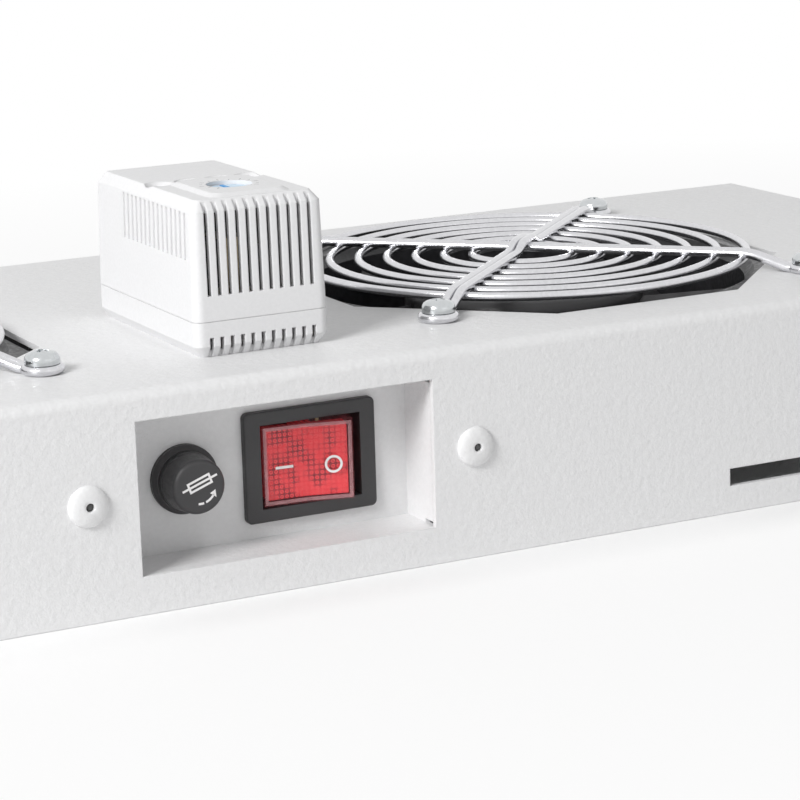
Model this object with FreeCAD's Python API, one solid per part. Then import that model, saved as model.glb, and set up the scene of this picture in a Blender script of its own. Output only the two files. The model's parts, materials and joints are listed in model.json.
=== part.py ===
import FreeCAD, Part
import math
import os

# Rack fan tray: a folded steel tray for a 19 inch rack with two 120 mm fans under
# octagonal openings, a thermostat on top and a recessed switch and fuse in front.
# Frame: X to the right, Y to the back, Z up. The origin is the centre of the four
# rack slots, on the rear faces of the ears, which bear on the rack's rails.
# All sizes are in millimetres.

V = FreeCAD.Vector
UP = V(0, 0, 1)
DOWN = V(0, 0, -1)
BACK = V(0, 1, 0)
FORWARD = V(0, -1, 0)
RIGHT = V(1, 0, 0)
LEFT = V(-1, 0, 0)
SIDES = {"left": -1, "right": 1}

# ---------------------------------------------------------------- driving dimensions
# Tray
tray_width = 440.0
tray_depth = 161.0
tray_height = 50.0
sheet = 1.5
bend_radius = 2.5
lip_width = 10.0
seam_gap = 0.5

# Rack interface
ear_reach = 21.3
rack_slot_inset = 8.75
rack_slot_pitch = 31.75
rack_slot_low = 5.95
rack_slot_width = 6.8
rack_slot_length = 10.3
ear_thickness = 2.0
ear_leg = 42.0
ear_inner_radius = 1.5
ear_corner = 3.0
ear_rivet_setback = 24.0
ear_rivet_heights = (13.9, 39.3)

# Fans
fan_size = 120.0
fan_spacing = 83.4
fan_depth = 38.0
fan_screw_inset = 7.5
fan_screw_play = 0.2
fan_flange = 5.0
fan_corner_radius = 5.0
fan_duct_inset = 3.0
fan_wall = 2.2
fan_flare = 2.5
fan_flare_rim = 0.6
fan_opening_margin = 1.5
motor_radius = 32.0
motor_base_thickness = 4.0
strut_width = 6.0
strut_lead = 17.6
strut_turn = 20.0
blade_count = 5
blade_tip_gap = 1.5
blade_chord_root = 30.0
blade_chord_tip = 44.0
blade_pitch_root = 38.0
blade_pitch_tip = 26.0
blade_camber = 3.2
blade_sweep = 14.0
blade_thickness = 1.8
rotor_setback = 3.0
rotor_height = 28.0
rotor_wall = 2.0
rotor_rim = 3.0
shaft_radius = 2.5
bearing_radius = 6.5
bearing_height = 5.0
bearing_floor = 1.5
bearing_tube_wall = 1.6
stator_radius = 26.0
stator_height = 12.0
stator_slot = 3.2
winding_radius = 21.0
winding_height = 3.5

# Finger guards
wire = 2.2
guard_rings = 7
guard_lap = 0.6
guard_inner_radius = 13.2
guard_ring_lift = 2.6
guard_weld = 0.35
guard_arm_pair = 2.3
guard_knee = 2.0
guard_foot = 1.2
eyelet_play = 0.5

# M4 screws and nuts
m4_radius = 2.0
m4_head_radius = 4.0
m4_head_height = 3.1
m4_length = 16.0
m4_nut_flats = 7.0
m4_nut_height = 3.2
# M3 screws and nuts
m3_radius = 1.5
m3_head_radius = 2.8
m3_head_height = 2.1
m3_nut_flats = 5.5
m3_nut_height = 2.4

# Recess box and its rivets
recess_x = -3.2
recess_width = 71.6
recess_height = 34.5
recess_floor = 8.7
recess_depth = 14.2
recess_sheet = 1.2
recess_flange = 20.0
recess_flange_step = 1.0
recess_relief = 3.6
recess_relief_height = 1.0
rivet_left_inset = 11.7
rivet_right_inset = 10.5
rivet_height = 26.3
rivet_radius = 2.0
rivet_head_radius = 4.65
rivet_head_height = 1.7
rivet_tail = 2.2
rivet_mandrel_radius = 0.85
rivet_mandrel_depth = 1.1

# Vent slots low in the front wall
vent_start = 112.2
vent_end_margin = 29.8
vent_height = 4.3
vent_floor = 6.7

# Rocker switch
switch_offset = 11.0
switch_rise = 16.6
switch_body_width = 29.4
switch_body_tall = 21.6
switch_body_depth = 17.3
switch_side_wall = 2.3
switch_end_wall = 1.1
bezel_side_lap = 1.6
bezel_end_lap = 2.05
bezel_thickness = 1.7
bezel_corner = 1.4
bezel_rounding = 0.5
rocker_cavity_depth = 14.0
pivot_setback = 7.0
rocker_side_gap = 1.66
rocker_end_gap = 0.3
rocker_face = 8.8
rocker_dish = 1.0
rocker_skirt = 2.9
rocker_flare = 0.15
rocker_wall = 1.2
rocker_rounding = 0.5
rocker_swing = 20.0
rocker_hub_radius = 2.4
pivot_pin_radius = 1.0
pivot_pin_short = 0.2
snap_rib = 0.8
snap_rib_width = 8.0
snap_rib_length = 5.0
blade_width = 6.3
blade_sheet = 0.8
blade_reach = 9.0
blade_side_offset = 8.0
blade_end_offset = 5.2
blade_eye_radius = 0.8
blade_eye_inset = 3.0
lamp_radius = 1.8
lamp_length = 9.0

# Fuse holder, 5 x 20 mm link
fuse_offset = -19.7
fuse_rise = 16.6
fuse_bore_radius = 4.6
fuse_wall = 1.6
fuse_flange_lap = 1.7
fuse_flange_thickness = 2.3
fuse_flange_chamfer = 0.9
fuse_body_length = 30.0
fuse_end_wall = 3.0
fuse_cap_inset = 1.2
fuse_cap_taper = 0.5
fuse_cap_height = 7.3
fuse_cap_band = 1.6
fuse_cap_rounding = 1.1
fuse_stem_gap = 0.15
fuse_stem_length = 16.0
fuse_nut_lap = 1.8
fuse_nut_height = 3.5
fuse_link_radius = 2.6
fuse_link_length = 20.0
fuse_link_start = 3.0
fuse_link_cap = 5.0
fuse_link_shell = 0.15
fuse_glass_wall = 0.5
fuse_tag_sheet = 1.0
fuse_tag_width = 5.8
fuse_tag_place = 17.0
fuse_tag_reach = 5.0
fuse_end_tag_reach = 8.0
fuse_contact_radius = 3.2
fuse_contact_stem = 1.2

# Thermostat
thermo_x = 0.8
thermo_setback = 20.3
thermo_width = 33.0
thermo_length = 60.0
thermo_height = 36.2
thermo_base_height = 8.2
thermo_wall = 1.6
thermo_corner = 2.2
thermo_draft = 0.6
thermo_chamfer = 2.4
thermo_foot_chamfer = 2.6
thermo_slots = 11
thermo_slot_margin = 3.9
thermo_slot_width = 1.0
thermo_slot_floor = 14.0
thermo_foot_slot_height = 4.6
side_slots = 15
side_slot_pitch = 2.6
side_slot_width = 1.0
side_slot_length = 10.5
side_slot_start = 4.0
side_slot_depth = 0.6
plateau_height = 0.8
plateau_margin = 6.0
plateau_length = 26.0
plateau_slope = 1.7
plateau_corner = 3.0
dial_setback = 16.0
dial_radius = 5.1
dial_depth = 1.6
dial_thickness = 0.6
dial_slot_width = 1.4
dial_slot_depth = 0.4
dial_shaft_radius = 1.6
dial_collar_lap = 1.6
dial_collar_height = 2.3
terminal_setback = 30.5
terminal_margin = 5.1
terminal_count = 4
terminal_hole_radius = 1.9
terminal_gap = 3.4
terminal_block_depth = 9.0
terminal_block_height = 10.6
terminal_foot_depth = 2.4
terminal_clamp_width = 4.0
terminal_clamp_height = 3.5
thermo_screw_inset = 9.0
thermo_boss_radius = 3.4
thermo_boss_height = 6.0
bimetal_sheet = 0.6
bimetal_width = 6.0
bimetal_height = 24.0
bimetal_reach = 9.0
bimetal_post_width = 8.0
bimetal_post_height = 12.0
bimetal_post_gap = 3.0

# Cable way from the thermostat into the tray
grommet_inset = 20.0
grommet_hole_radius = 4.5
grommet_lap = 2.0
grommet_chamfer = 0.5
grommet_bore_radius = 2.6
grommet_flange = 1.2

# Mains inlet in the rear wall
inlet_x = 0.0
inlet_height = 25.0
inlet_flange_width = 50.0
inlet_flange_tall = 22.6
inlet_flange_thickness = 3.0
inlet_body_width = 27.4
inlet_body_tall = 19.6
inlet_body_depth = 20.0
inlet_wall = 1.6
inlet_flange_corner = 4.0
inlet_corner = 2.5
inlet_mouth_depth = 17.0
inlet_screw_span = 40.0
inlet_pin_setback = 5.4
inlet_pin_spacing = 14.0
inlet_earth_rise = 4.0
inlet_pin_width = 2.0
inlet_pin_tall = 4.0
inlet_tab_reach = 8.0

# Terminal block and earth stud under the top plate
block_setback = 50.0
block_poles = 3
block_pole_pitch = 10.0
block_pole_width = 7.6
block_length = 19.0
block_web = 8.0
block_web_width = 10.0
block_ear = 8.0
block_pole_height = 13.0
block_screw_radius = 1.9
block_screw_length = 3.2
block_screw_sink = 1.0
block_screw_inset = 4.2
block_screw_slot = 0.7
block_entry_radius = 1.9
block_entry_rise = 2.0
earth_x = 27.0
earth_setback = 37.0
earth_stud_length = 11.0
washer_radius = 4.5
washer_thickness = 0.8

# Clearances
press_gap = 0.05
running_gap = 0.05
panel_gap = 0.2
hole_gap = 0.25

# ---------------------------------------------------------------- derived places
front = -ear_thickness
rear = front + tray_depth
bottom = -(rack_slot_low + rack_slot_pitch / 2)
top = bottom + tray_height
under = top - sheet
ear_edge = tray_width / 2 + ear_reach
rack_slot_span = 2 * (ear_edge - rack_slot_inset)
fan_y = front + tray_depth / 2
fan_floor = under - fan_depth
fan_pitch = fan_size + fan_spacing
fan_hole_square = fan_size - 2 * fan_screw_inset
fan_hole_radius = m4_radius + fan_screw_play
fan_bore_radius = fan_size / 2 - fan_duct_inset
fan_opening_flats = fan_size + 2 * fan_opening_margin
bearing_tube_radius = bearing_radius + bearing_tube_wall
rotor_top = fan_depth - rotor_setback
rotor_floor = rotor_top - rotor_height
bearing_tube_top = rotor_top - rotor_wall - 1.0
guard_outer_radius = fan_bore_radius + guard_lap
guard_ring_pitch = (guard_outer_radius - guard_inner_radius) / (guard_rings - 1)
eyelet_radius = m4_radius + eyelet_play + wire / math.sqrt(3)
recess_left = recess_x - recess_width / 2
recess_right = recess_x + recess_width / 2
recess_bottom = bottom + recess_floor
recess_top = recess_bottom + recess_height
panel_y = front + recess_depth
bezel_front = panel_y - bezel_thickness
bezel_width = switch_body_width + 2 * bezel_side_lap
bezel_tall = switch_body_tall + 2 * bezel_end_lap
rocker_opening_width = switch_body_width - 2 * switch_side_wall
rocker_opening_tall = switch_body_tall - 2 * switch_end_wall
rocker_half = rocker_opening_width / 2 - rocker_side_gap
rocker_tall = rocker_opening_tall - 2 * rocker_end_gap
pivot = V(recess_x + switch_offset, bezel_front + pivot_setback, recess_bottom + switch_rise)
switch_x = pivot.x
fuse_axis = V(recess_x + fuse_offset, panel_y, recess_bottom + fuse_rise)
fuse_body_radius = fuse_bore_radius + fuse_wall
fuse_flange_radius = fuse_body_radius + fuse_flange_lap
fuse_cap_base_radius = fuse_flange_radius - fuse_cap_inset
fuse_cap_face_radius = fuse_cap_base_radius - fuse_cap_taper
fuse_stem_radius = fuse_bore_radius - fuse_stem_gap
fuse_nut_flats = 2 * (fuse_body_radius + fuse_nut_lap)
fuse_glass_radius = fuse_link_radius - fuse_link_shell - press_gap
thermo_front = front + thermo_setback
thermo_roof = thermo_height - plateau_height
grommet_setback = thermo_length - grommet_inset
thermo_slot_pitch = (thermo_width - 2 * thermo_slot_margin) / (thermo_slots - 1)
plateau_width = thermo_width - 2 * plateau_margin
terminal_pitch = (thermo_width - 2 * terminal_margin) / (terminal_count - 1)
dial_centre = V(thermo_x, thermo_front + dial_setback, top + thermo_height)
grommet_flange_radius = grommet_hole_radius + grommet_lap
inlet_z = bottom + inlet_height
inlet_mouth_width = inlet_body_width - 2 * inlet_wall
inlet_mouth_tall = inlet_body_tall - 2 * inlet_wall
block_y = rear - block_setback
block_width = block_pole_pitch * (block_poles - 1) + block_pole_width


# ---------------------------------------------------------------- shape helpers
def box(x0, x1, y0, y1, z0, z1):
    return Part.makeBox(x1 - x0, y1 - y0, z1 - z0, V(x0, y0, z0))


def joined(shapes):
    return shapes[0].fuse(shapes[1:]).removeSplitter()


def placed(shape, position, direction=UP):
    copy = shape.copy()
    copy.Placement = FreeCAD.Placement(position, FreeCAD.Rotation(UP, direction))
    return copy


def drilled(position, direction, radius, length):
    """A cylinder that starts at a point and runs along a direction, used as pin or as drill."""
    return Part.makeCylinder(radius, length, position, direction)


def outline(start, *steps):
    """A closed face in the XZ plane. A step is an end point, or a (middle, end) pair for an arc."""
    edges = []
    here = V(start[0], 0, start[1])
    for step in steps + (start,):
        if isinstance(step[0], tuple):
            middle = V(step[0][0], 0, step[0][1])
            there = V(step[1][0], 0, step[1][1])
            edges.append(Part.Arc(here, middle, there).toShape())
        else:
            there = V(step[0], 0, step[1])
            edges.append(Part.LineSegment(here, there).toShape())
        here = there
    return Part.Face(Part.Wire(edges))


def turned(start, *steps):
    """A body of revolution about +Z from (radius, height) points."""
    return outline(start, *steps).revolve(V(0, 0, 0), UP, 360)


def rounded_rectangle(width, length, radius, z=0.0):
    """A wire in a level plane, centred on the Z axis."""
    x = width / 2
    y = length / 2
    k = radius * (1 - math.sqrt(0.5))
    corners = ((x, -y, 1, -1), (x, y, 1, 1), (-x, y, -1, 1), (-x, -y, -1, -1))
    edges = []
    ends = []
    for cx, cy, sx, sy in corners:
        along_x = V(cx - sx * radius, cy, z)
        along_y = V(cx, cy - sy * radius, z)
        middle = V(cx - sx * k, cy - sy * k, z)
        first, last = (along_x, along_y) if sx * sy < 0 else (along_y, along_x)
        ends.append((first, last))
        edges.append(Part.Arc(first, middle, last).toShape())
    for index, (first, last) in enumerate(ends):
        following = ends[(index + 1) % 4][0]
        edges.append(Part.LineSegment(last, following).toShape())
    return Part.Wire(Part.__sortEdges__(edges))


def rounded_plate(width, length, radius, height):
    """A plate with rounded corners that rises from the origin along +Z."""
    return Part.Face(rounded_rectangle(width, length, radius)).extrude(V(0, 0, height))


def upright(shape, x, y, z):
    """Turns a level shape so that its +Z points forward (-Y) and its +Y points up, then places it."""
    copy = shape.copy()
    copy.Placement = FreeCAD.Placement(V(x, y, z), FreeCAD.Rotation(RIGHT, 90))
    return copy


def regular_prism(sides, across_flats, height, turn=0.0):
    reach = across_flats / 2 / math.cos(math.pi / sides)
    corners = []
    for index in range(sides + 1):
        angle = math.radians(turn) + 2 * math.pi * index / sides
        corners.append(V(reach * math.cos(angle), reach * math.sin(angle), 0))
    return Part.Face(Part.makePolygon(corners)).extrude(V(0, 0, height))


def nut(across_flats, height, bore_radius):
    """A hexagon nut that rises from the origin."""
    bore = drilled(V(0, 0, -1), UP, bore_radius, height + 2)
    return regular_prism(6, across_flats, height).cut(bore)


def pan_screw(radius, head_radius, head_height, length):
    """A pan head screw: head above the origin, shank below."""
    return turned((0, -length), (radius, -length), (radius, 0), (head_radius, 0),
                  (head_radius, 0.5 * head_height), (0.62 * head_radius, head_height), (0, head_height))


def rivet(grip, crown):
    """A rivet through sheets of a total thickness, its head above the origin and closed by a crown profile."""
    upset = 1.35 * rivet_radius
    rim = 0.75 * rivet_head_radius
    return turned((0, -grip - rivet_tail), (upset, -grip - rivet_tail), (upset, -grip), (rivet_radius, -grip),
                  (rivet_radius, 0), (rivet_head_radius, 0), (rim, 0.75 * rivet_head_height), *crown)


def solid_rivet(grip):
    return rivet(grip, [(0.3 * rivet_head_radius, rivet_head_height), (0, rivet_head_height)])


def blind_rivet(grip):
    """A rivet whose head keeps the hole of its pulled mandrel."""
    radius = rivet_mandrel_radius
    floor = rivet_head_height - rivet_mandrel_depth
    rim = (1.5 * radius, rivet_head_height)
    return rivet(grip, [rim, (radius, rivet_head_height), (radius, floor), (0, floor)])


def edges_at_height(shape, z):
    found = []
    for edge in shape.Edges:
        bounds = edge.BoundBox
        if abs(bounds.ZMin - z) < 1e-4 and abs(bounds.ZMax - z) < 1e-4:
            found.append(edge)
    return found


def fan_x(side):
    return side * fan_pitch / 2


def fan_corners(side):
    """Where the four fan screws of one side stand, at the height of the tray's top face."""
    half = fan_hole_square / 2
    return [V(fan_x(side) + sx * half, fan_y + sy * half, top) for sx in (-1, 1) for sy in (-1, 1)]


# ---------------------------------------------------------------- tray
def folded_pan():
    """The tray's top and four walls, folded down from one sheet, with open corner seams."""
    half = tray_width / 2
    outer = box(-half, half, front, rear, bottom, top)
    outer = outer.makeFillet(bend_radius, edges_at_height(outer, top))
    inner = box(-half + sheet, half - sheet, front + sheet, rear - sheet, bottom - 1, under)
    inner = inner.makeFillet(bend_radius - sheet, edges_at_height(inner, under))
    pan = outer.cut(inner)
    seams = []
    for side in (-1, 1):
        x0, x1 = sorted((side * (half - sheet), side * (half + 1)))
        for y0 in (front + sheet, rear - sheet - seam_gap):
            seams.append(box(x0, x1, y0, y0 + seam_gap, bottom - 1, top - bend_radius))
    return pan.cut(seams)


def stiffening_lips():
    """Return flanges along the lower edges of the front and rear walls."""
    half = tray_width / 2 - sheet - seam_gap
    front_lip = box(-half, half, front + sheet / 2, front + sheet + lip_width, bottom, bottom + sheet)
    rear_lip = box(-half, half, rear - sheet - lip_width, rear - sheet / 2, bottom, bottom + sheet)
    return [front_lip, rear_lip]


def weld_studs():
    """Studs under the top plate for the terminal block and the earth wire."""
    block_length_down = block_web + m3_nut_height + 1.5
    studs = [drilled(V(x, block_y, under), DOWN, m3_radius, block_length_down) for x in block_stud_places()]
    studs.append(drilled(V(earth_x, rear - earth_setback, under), DOWN, m4_radius, earth_stud_length))
    return studs


def block_stud_places():
    return [side * (block_width + block_ear) / 2 for side in (-1, 1)]


def thermo_screw_places():
    setbacks = (thermo_screw_inset, thermo_length - thermo_screw_inset)
    return [V(thermo_x, thermo_front + y, under) for y in setbacks]


def rivet_places():
    z = bottom + rivet_height
    return [V(recess_left - rivet_left_inset, front, z), V(recess_right + rivet_right_inset, front, z)]


def ear_rivet_places(side):
    x = side * (tray_width / 2 + ear_thickness)
    return [V(x, front + ear_rivet_setback, bottom + height) for height in ear_rivet_heights]


def inlet_screw_places():
    y = rear + inlet_flange_thickness
    return [V(inlet_x + side * inlet_screw_span / 2, y, inlet_z) for side in (-1, 1)]


def tray_shell():
    shell = joined([folded_pan()] + stiffening_lips() + weld_studs())
    cuts = []
    for side in (-1, 1):
        opening = regular_prism(8, fan_opening_flats, sheet + 2, 22.5)
        cuts.append(placed(opening, V(fan_x(side), fan_y, under - 1)))
        for place in fan_corners(side):
            cuts.append(drilled(place + UP, DOWN, m4_radius + hole_gap, sheet + 2))
        x0, x1 = sorted((side * vent_start, side * (tray_width / 2 - vent_end_margin)))
        z = bottom + vent_floor
        cuts.append(box(x0, x1, front - 1, front + sheet + 1, z, z + vent_height))
        for place in ear_rivet_places(side):
            inward = V(-side, 0, 0)
            cuts.append(drilled(place, inward, rivet_radius + press_gap, ear_thickness + sheet + 1))
    cuts.append(box(recess_left, recess_right, front - 1, front + sheet + 1, recess_bottom, recess_top))
    for place in rivet_places():
        cuts.append(drilled(place + FORWARD, BACK, rivet_radius + press_gap, sheet + 2))
    for place in thermo_screw_places():
        cuts.append(drilled(place + DOWN, UP, m3_radius + hole_gap, sheet + 2))
    grommet = V(thermo_x, thermo_front + grommet_setback, under - 1)
    cuts.append(drilled(grommet, UP, grommet_hole_radius, sheet + 2))
    cut_width = inlet_body_width / 2 + panel_gap
    cut_tall = inlet_body_tall / 2 + panel_gap
    cuts.append(box(inlet_x - cut_width, inlet_x + cut_width, rear - sheet - 1, rear + 1,
                    inlet_z - cut_tall, inlet_z + cut_tall))
    for place in inlet_screw_places():
        cuts.append(drilled(place, FORWARD, m3_radius + hole_gap, inlet_flange_thickness + sheet + 1))
    return shell.cut(cuts)


def ear(side):
    """An angle bracket: the rack flange in front and a leg along the tray's side wall."""
    inner = tray_width / 2
    outer = ear_edge
    flange = box(inner, outer, front, 0, bottom, top)
    leg = box(inner, inner + ear_thickness, front, front + ear_leg, bottom, top)
    bracket = joined([flange, leg])
    inside = [edge for edge in bracket.Edges
              if abs(edge.CenterOfMass.x - inner - ear_thickness) < 1e-4 and abs(edge.CenterOfMass.y) < 1e-4
              and edge.Length > tray_height - 1]
    bracket = bracket.makeFillet(ear_inner_radius, inside)
    corners = [edge for edge in bracket.Edges
               if abs(edge.CenterOfMass.x - outer) < 1e-4 and edge.Length < ear_thickness + 0.1]
    bracket = bracket.makeFillet(ear_corner, corners)
    cuts = []
    for z in (-rack_slot_pitch / 2, rack_slot_pitch / 2):
        slot = rounded_plate(rack_slot_length, rack_slot_width, rack_slot_width / 2 - 0.001, ear_thickness + 2)
        cuts.append(upright(slot, rack_slot_span / 2, 1, z))
    for place in ear_rivet_places(1):
        cuts.append(drilled(place + RIGHT, LEFT, rivet_radius + press_gap, ear_thickness + 2))
    bracket = bracket.cut(cuts)
    if side < 0:
        bracket = bracket.mirror(V(0, 0, 0), RIGHT)
    return bracket


def ear_rivets():
    rivets = []
    for side in (-1, 1):
        for place in ear_rivet_places(side):
            rivets.append(placed(solid_rivet(ear_thickness + sheet), place, V(side, 0, 0)))
    return Part.makeCompound(rivets)


# ---------------------------------------------------------------- recess
def recess_box():
    """The folded box behind the front opening, with a riveted flange on each side."""
    floor = recess_bottom
    ceiling = recess_top
    back = front + sheet
    t = recess_sheet
    outer = box(recess_left - t, recess_right + t, back, panel_y + t, floor - t, ceiling + t)
    hollow = box(recess_left, recess_right, back - 1, panel_y, floor, ceiling)
    shell = outer.cut(hollow)
    flanges = []
    reliefs = []
    for edge, side in ((recess_left, -1), (recess_right, 1)):
        x0, x1 = sorted((edge + side * t / 2, edge + side * recess_flange))
        flanges.append(box(x0, x1, back, back + t, floor + recess_flange_step, ceiling - recess_flange_step))
        x0, x1 = sorted((edge - side * 0.01, edge + side * (t + 0.01)))
        for z in (floor, ceiling - recess_relief_height):
            reliefs.append(box(x0, x1, back - 1, back + recess_relief, z, z + recess_relief_height))
    shell = joined([shell] + flanges)
    cut_width = switch_body_width / 2 + panel_gap
    cut_tall = switch_body_tall / 2 + panel_gap
    z = pivot.z
    cuts = reliefs + [box(switch_x - cut_width, switch_x + cut_width, panel_y - 1, panel_y + t + 1,
                          z - cut_tall, z + cut_tall)]
    cuts.append(drilled(fuse_axis + FORWARD, BACK, fuse_body_radius + panel_gap, t + 2))
    for place in rivet_places():
        cuts.append(drilled(place, BACK, rivet_radius + press_gap, sheet + t + 1))
    return shell.cut(cuts)


def recess_rivets():
    grip = sheet + recess_sheet
    return Part.makeCompound([placed(blind_rivet(grip), place, FORWARD) for place in rivet_places()])


# ---------------------------------------------------------------- rocker switch
def switch_terminal_places():
    return [(sx * blade_side_offset, sz * blade_end_offset) for sx in (-1, 1) for sz in (-1, 1)]


def switch_housing():
    """The black bezel and snap-in body, open in front for the rocker."""
    z = pivot.z
    bezel = upright(rounded_plate(bezel_width, bezel_tall, bezel_corner, bezel_thickness), switch_x, panel_y, z)
    rim = [edge for edge in bezel.Edges if abs(edge.BoundBox.YMax - bezel_front) < 1e-4]
    bezel = bezel.makeFillet(bezel_rounding, rim)
    body_back = panel_y + switch_body_depth
    half_w = switch_body_width / 2
    half_t = switch_body_tall / 2
    body = box(switch_x - half_w, switch_x + half_w, panel_y - 0.5, body_back, z - half_t, z + half_t)
    ribs = []
    catch = panel_y + recess_sheet + press_gap
    for side in (-1, 1):
        x = switch_x + side * half_w
        root = x - side * 0.5
        low = z - snap_rib_width / 2
        wedge = Part.makePolygon([V(root, catch, low), V(x + side * snap_rib, catch, low),
                                  V(root, catch + snap_rib_length, low), V(root, catch, low)])
        ribs.append(Part.Face(wedge).extrude(V(0, 0, snap_rib_width)))
    housing = joined([bezel, body] + ribs)
    cavity_floor = bezel_front + rocker_cavity_depth
    cuts = [box(switch_x - rocker_opening_width / 2, switch_x + rocker_opening_width / 2,
                bezel_front - 1, cavity_floor, z - rocker_opening_tall / 2, z + rocker_opening_tall / 2)]
    cuts.append(drilled(pivot + DOWN * half_t, UP, pivot_pin_radius + running_gap, switch_body_tall))
    for dx, dz in switch_terminal_places():
        half_b = blade_sheet / 2 + press_gap
        half_h = blade_width / 2 + press_gap
        cuts.append(box(switch_x + dx - half_b, switch_x + dx + half_b, cavity_floor - 1, body_back + 1,
                        z + dz - half_h, z + dz + half_h))
    return housing.cut(cuts)


def rocker_profile(inset, skirt):
    """The rocker's section across its pivot, in the middle of its swing, as a face at z = 0."""
    x = rocker_half - inset
    y = -(rocker_face - inset)
    foot = x + rocker_flare
    points = [V(-x, y, 0), V(0, y + rocker_dish, 0), V(x, y, 0), V(foot, -skirt, 0), V(-foot, -skirt, 0)]
    return Part.Face(Part.makePolygon(points + points[:1]))


def at_rocker_rest(shape):
    """Moves a shape drawn about the pivot to the rocker's rest, with its left half pressed in."""
    copy = shape.copy()
    copy.Placement = FreeCAD.Placement(pivot, FreeCAD.Rotation(UP, -rocker_swing / 2))
    return copy


def switch_rocker():
    """The clear red cap of the rocker."""
    half = rocker_tall / 2
    solid = rocker_profile(0, rocker_skirt).extrude(V(0, 0, rocker_tall))
    solid.translate(V(0, 0, -half))
    face_edges = [edge for edge in solid.Edges if edge.BoundBox.YMax < -rocker_face + rocker_dish + 0.01]
    solid = solid.makeFillet(rocker_rounding, [edge for edge in face_edges if abs(edge.CenterOfMass.x) > 0.01])
    hollow = rocker_profile(rocker_wall, rocker_skirt - 1).extrude(V(0, 0, rocker_tall - 2 * rocker_wall))
    hollow.translate(V(0, 0, -half + rocker_wall))
    return at_rocker_rest(solid.cut(hollow))


def switch_core():
    """The diffuser block inside the cap, its hub and its two pivot pins."""
    inset = rocker_wall + press_gap
    half = rocker_tall / 2 - inset
    block = rocker_profile(inset, rocker_skirt).extrude(V(0, 0, 2 * half))
    block.translate(V(0, 0, -half))
    stem = box(-rocker_hub_radius, rocker_hub_radius, -rocker_skirt - 0.5, 0, -half, half)
    hub = drilled(V(0, 0, -rocker_tall / 2), UP, rocker_hub_radius, rocker_tall)
    pin_reach = switch_body_tall / 2 - pivot_pin_short
    pin = drilled(V(0, 0, -pin_reach), UP, pivot_pin_radius, 2 * pin_reach)
    return at_rocker_rest(joined([block, stem, hub, pin]))


def switch_terminals():
    cavity_floor = bezel_front + rocker_cavity_depth
    body_back = panel_y + switch_body_depth
    blades = []
    for dx, dz in switch_terminal_places():
        x = switch_x + dx
        z = pivot.z + dz
        blade = box(x - blade_sheet / 2, x + blade_sheet / 2, cavity_floor - 0.6, body_back + blade_reach,
                    z - blade_width / 2, z + blade_width / 2)
        hole = drilled(V(x - 1, body_back + blade_reach - blade_eye_inset, z), RIGHT, blade_eye_radius, 2)
        blades.append(blade.cut(hole))
    return Part.makeCompound(blades)


def switch_lamp():
    """The glow lamp that lies on the floor of the cavity, behind the rocker."""
    y = bezel_front + rocker_cavity_depth - lamp_radius - press_gap
    lamp = drilled(V(switch_x - lamp_length / 2, y, pivot.z), RIGHT, lamp_radius, lamp_length)
    return lamp.makeFillet(0.6 * lamp_radius, lamp.Edges[:1] + lamp.Edges[2:])


# ---------------------------------------------------------------- fuse holder
# Turned about the holder's axis: height 0 is the front face of the recess, plus is inwards.
def fuse_holder_body():
    flange = fuse_flange_radius
    tube = fuse_body_radius
    lip = -fuse_flange_thickness
    throat = fuse_contact_stem + press_gap
    floor = fuse_body_length - fuse_end_wall
    body = turned((fuse_bore_radius, lip), (flange - fuse_flange_chamfer, lip),
                  (flange, lip + fuse_flange_chamfer), (flange, 0), (tube, 0), (tube, fuse_body_length),
                  (throat, fuse_body_length), (throat, floor), (fuse_bore_radius, floor))
    half = fuse_tag_width / 2 + press_gap
    side_slot = box(-half, half, fuse_bore_radius / 2, tube + 1,
                    fuse_tag_place - press_gap, fuse_tag_place + fuse_tag_sheet + press_gap)
    return placed(body.cut(side_slot), fuse_axis, BACK)


def fuse_holder_nut():
    grip = recess_sheet
    ring = nut(fuse_nut_flats, fuse_nut_height, fuse_body_radius + press_gap)
    return placed(ring, fuse_axis + BACK * grip, BACK)


def fuse_holder_terminals():
    """The end contact with its tag, and the side tag."""
    tip = fuse_link_start + fuse_link_length + press_gap
    floor = fuse_body_length - fuse_end_wall - press_gap
    end_contact = turned((0, tip), (0.6 * fuse_contact_radius, tip), (fuse_contact_radius, floor),
                         (fuse_contact_stem, floor), (fuse_contact_stem, fuse_body_length + 1),
                         (0, fuse_body_length + 1))
    end_tag = box(-fuse_tag_width / 4, fuse_tag_width / 4, -fuse_tag_sheet / 2, fuse_tag_sheet / 2,
                  fuse_body_length + 0.5, fuse_body_length + fuse_end_tag_reach)
    side_tag = box(-fuse_tag_width / 2, fuse_tag_width / 2, fuse_bore_radius, fuse_body_radius + fuse_tag_reach,
                   fuse_tag_place, fuse_tag_place + fuse_tag_sheet)
    pair = [joined([end_contact, end_tag]), side_tag]
    return Part.makeCompound([placed(piece, fuse_axis, BACK) for piece in pair])


def fuse_cap():
    """The carrier: a round cap with the stem that grips the link."""
    seat = -fuse_flange_thickness - press_gap
    face = seat - fuse_cap_height
    base = fuse_cap_base_radius
    rim = fuse_cap_face_radius
    r = fuse_cap_rounding
    k = r * (1 - math.sqrt(0.5))
    cap = turned((0, face), (rim - r, face), ((rim - k, face + k), (rim, face + r)),
                 (base - 0.1, seat - fuse_cap_band - 0.3), (base, seat - fuse_cap_band), (base, seat),
                 (fuse_stem_radius, seat),
                 (fuse_stem_radius, fuse_stem_length), (fuse_link_radius + press_gap, fuse_stem_length),
                 (fuse_link_radius + press_gap, fuse_link_start - press_gap), (0, fuse_link_start - press_gap))
    return placed(cap, fuse_axis, BACK)


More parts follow.
